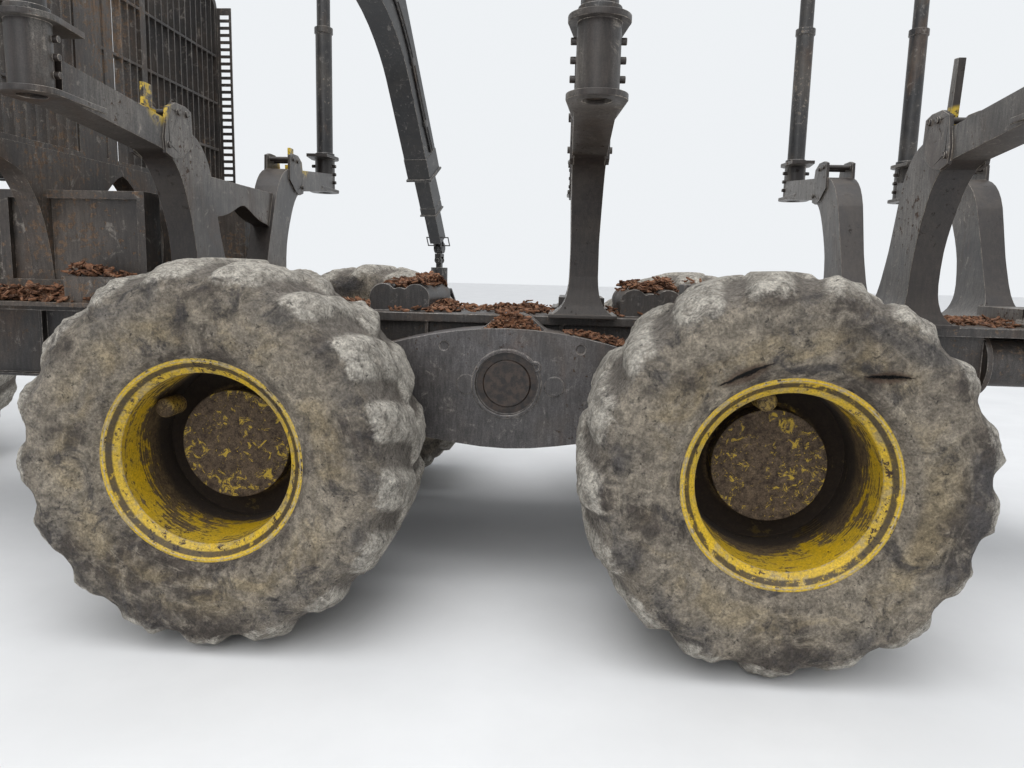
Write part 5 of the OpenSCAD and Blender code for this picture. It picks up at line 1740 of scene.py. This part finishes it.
@dataclass
class BarkLitter(Assembly):
    """Heaps of bark flakes that lie where the machine catches them.

    Attributes:
        length: Length of a flake, metres.
        width: Width of a flake.
        thickness: Thickness of a flake.
        level: Least upward share of a face that holds a flake.
        tries: How many drops are tried for each flake.
    """

    length: float = 0.042
    width: float = 0.017
    thickness: float = 0.005
    level: float = 0.6
    tries: int = 200

    def build(self) -> list[Piece]:
        """Makes every heap."""
        return [self.heap(heap, random.Random(seed)) for seed, heap in enumerate(HEAPS)]

    def landed(self, heap: Heap, chance: random.Random) -> list[Vector]:
        """Where each flake of a heap comes to lie on the node below it.

        Args:
            heap: The heap.
            chance: Source of its random draws.

        Returns:
            The places in the frame.
        """
        ground = surface(heap.on)
        low, high = at(*heap.low), at(*heap.high)
        spots: list[Vector] = []
        for _ in range(self.tries << heap.doublings):
            u, v = chance.gauss(0.5, 0.24), chance.gauss(0.5, 0.24)
            if not (0 <= u <= 1 and 0 <= v <= 1):
                continue
            start = Vector((low.x + u * (high.x - low.x), low.y + v * (high.y - low.y), high.z))
            spot, facing, _, _ = ground.ray_cast(start, Vector((0, 0, -1)))
            if spot is not None and facing.z > self.level and spot.z > low.z:
                swell = heap.depth * 16 * u * (1 - u) * v * (1 - v)
                spots.append(Vector((start.x, start.y, spot.z + chance.random() * swell + self.thickness)))
            if len(spots) == 1 << heap.doublings:
                break
        return spots

    def heap(self, heap: Heap, chance: random.Random) -> Piece:
        """One heap: a flake, doubled until there are enough, and each copy turned and laid down.

        Args:
            heap: The heap.
            chance: Source of its random draws.

        Returns:
            The new piece.
        """
        spots = self.landed(heap, chance)
        piece = added(heap.name, bpy.ops.mesh.primitive_cylinder_add, vertices=6, radius=1.0, depth=2.0)
        corners = len(piece.data.vertices)
        with editing(piece):
            for _ in range(heap.doublings):
                bpy.ops.mesh.select_all(action="SELECT")
                bpy.ops.mesh.duplicate()
        flakes = points_of(piece).astype(float).reshape(-1, corners, 3)
        for flake, spot in zip(flakes, itertools.cycle(spots)):
            size = chance.uniform(0.45, 1.5)
            flake[:, 1] *= 1 + 0.4 * flake[:, 0] * chance.uniform(-1, 1)
            flake[:, 2] += chance.uniform(-2.5, 2.5) * flake[:, 0] ** 2
            flake *= np.array([self.length, self.width * chance.uniform(0.5, 1.6), self.thickness]) * size / 2
            turn = Matrix.Rotation(chance.uniform(0, math.tau), 3, "Z") @ Matrix.Rotation(
                chance.gauss(0, 0.35), 3, "Y") @ Matrix.Rotation(chance.gauss(0, 0.35), 3, "X")
            flake[:] = flake @ np.array(turn).T + np.array(spot)
        move_points(piece, flakes)
        return place(piece, self.shop.get("bark_litter"), "black_frame_paint", BODY_OF[heap.on])


# Studio


@dataclass
class Studio:
    """Camera, pale floor, soft light.

    Attributes:
        eye: Place of the camera, from the steering joint.
        heading: Turn of the view towards the machine's front, degrees.
        dip: How far the view looks down, degrees.
        roll: Lean of the camera, degrees.
        lens: Focal length for a sensor 36 mm wide.
        floor_size: Length of the floor's side.
    """

    eye: Point = (-3.80, 3.94, 1.345)
    heading: float = 3.9
    dip: float = 8.3
    roll: float = 1.4
    lens: float = 27.04
    floor_size: float = 160.0

    @staticmethod
    def stood(name: str, data: bpy.types.ID) -> Piece:
        """An object in the scene for a camera or a lamp.

        Args:
            name: Name of the object.
            data: The camera or lamp.

        Returns:
            The object.
        """
        holder = bpy.data.objects.new(name, data)
        bpy.context.scene.collection.objects.link(holder)
        return holder

    def camera(self) -> None:
        """Sets the camera at the photograph's viewpoint, on the machine's left."""
        data = bpy.data.cameras.new("camera")
        data.lens, data.sensor_width, data.clip_end = self.lens, 36.0, 400.0
        h, d, r = (math.radians(v) for v in (self.heading, self.dip, self.roll))
        ahead = Vector((math.sin(h) * math.cos(d), -math.cos(h) * math.cos(d), -math.sin(d)))
        level = Vector((-math.cos(h), -math.sin(h), 0))
        above = level.cross(ahead)
        right = level * math.cos(r) + above * math.sin(r)
        up = above * math.cos(r) - level * math.sin(r)
        holder = self.stood("camera", data)
        turn = Matrix((right, up, -ahead)).transposed().to_4x4()
        holder.matrix_world = Matrix.Translation(at(*self.eye)) @ turn
        bpy.context.scene.camera = holder

    @staticmethod
    def world() -> None:
        """Even light from all round, and a pale backdrop for the camera and for reflections."""
        world = bpy.data.worlds.new("pale_room")
        bpy.context.scene.world = world
        world.use_nodes = True
        n = Nodes(world.node_tree)
        path = n.node("LightPath", {}).outputs
        seen = n.math("MAXIMUM", *(Wire(n, path[f"Is {ray} Ray"]) for ray in ("Camera", "Glossy")))
        seen = n.math("MAXIMUM", seen, Wire(n, path["Is Transmission Ray"]))
        soft = n.out("Background", {"Color": Palette.SOFT_LIGHT, "Strength": 0.62})
        pale = n.out("Background", {"Color": Palette.BACKDROP})
        n.node("OutputWorld", {0: n.out("MixShader", {0: seen, 1: soft, 2: pale})})

    def lamp(self, name: str, spot: Point, aim: Point, size: float, power: float) -> None:
        """One soft square lamp.

        Args:
            name: Name of the lamp.
            spot: Its place, from the steering joint.
            aim: The point that it faces.
            size: Length of its side, metres.
            power: Its power, watts.
        """
        data = bpy.data.lights.new(name, "AREA")
        data.shape, data.size, data.energy = "SQUARE", size, power
        holder = self.stood(name, data)
        holder.location = at(*spot)
        holder.rotation_euler = (at(*aim) - at(*spot)).to_track_quat("-Z", "Y").to_euler()

    def sun(self, strength: float, lean: float) -> None:
        """Very soft light from high on the machine's left, the same over the whole floor.

        Args:
            strength: Strength of the light.
            lean: Its lean from straight down, degrees.
        """
        data = bpy.data.lights.new("soft_sun", "SUN")
        data.energy, data.angle = strength, math.radians(60)
        self.stood("soft_sun", data).rotation_euler = (math.radians(-lean), 0.0, 0.0)

    def floor(self) -> None:
        """The plain pale floor."""
        piece = added("studio_floor", bpy.ops.mesh.primitive_plane_add, size=self.floor_size)
        t = FinishTree("pale_floor")
        tone = t.mix(t.band(t.cloud(0.9, 8, 0.6), 0.35, 0.65), Palette.FLOOR_GREY, Palette.FLOOR_PALE)
        piece.data.materials.append(t.finish(tone, 0.9))

    def build(self) -> None:
        """Sets up the whole studio."""
        self.camera()
        self.world()
        self.floor()
        self.sun(1.15, 32.0)
        self.lamp("sky_panel", (-3.0, 1.5, 12.0), (-3.0, 0.0, 0.0), 12.0, 700.0)
        self.lamp("side_panel", (-1.0, 12.0, 5.5), (-3.0, 0.0, 1.0), 7.0, 200.0)


def main() -> None:
    """Builds the studio and every sub-assembly in order."""
    logging.basicConfig(level=logging.INFO, format="%(name)s: %(message)s")
    random.seed(7)
    bpy.context.scene.view_settings.view_transform = "Standard"
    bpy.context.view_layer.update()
    Studio().build()
    shop = PaintShop()
    for assembly in (Solids, Wheels, Seat, CabTrim, CraneLines, BarkLitter):
        for piece in assembly(shop).build():
            LOG.info("%s: %d faces", piece.name, len(piece.data.polygons))


if __name__ == "__main__":
    main()
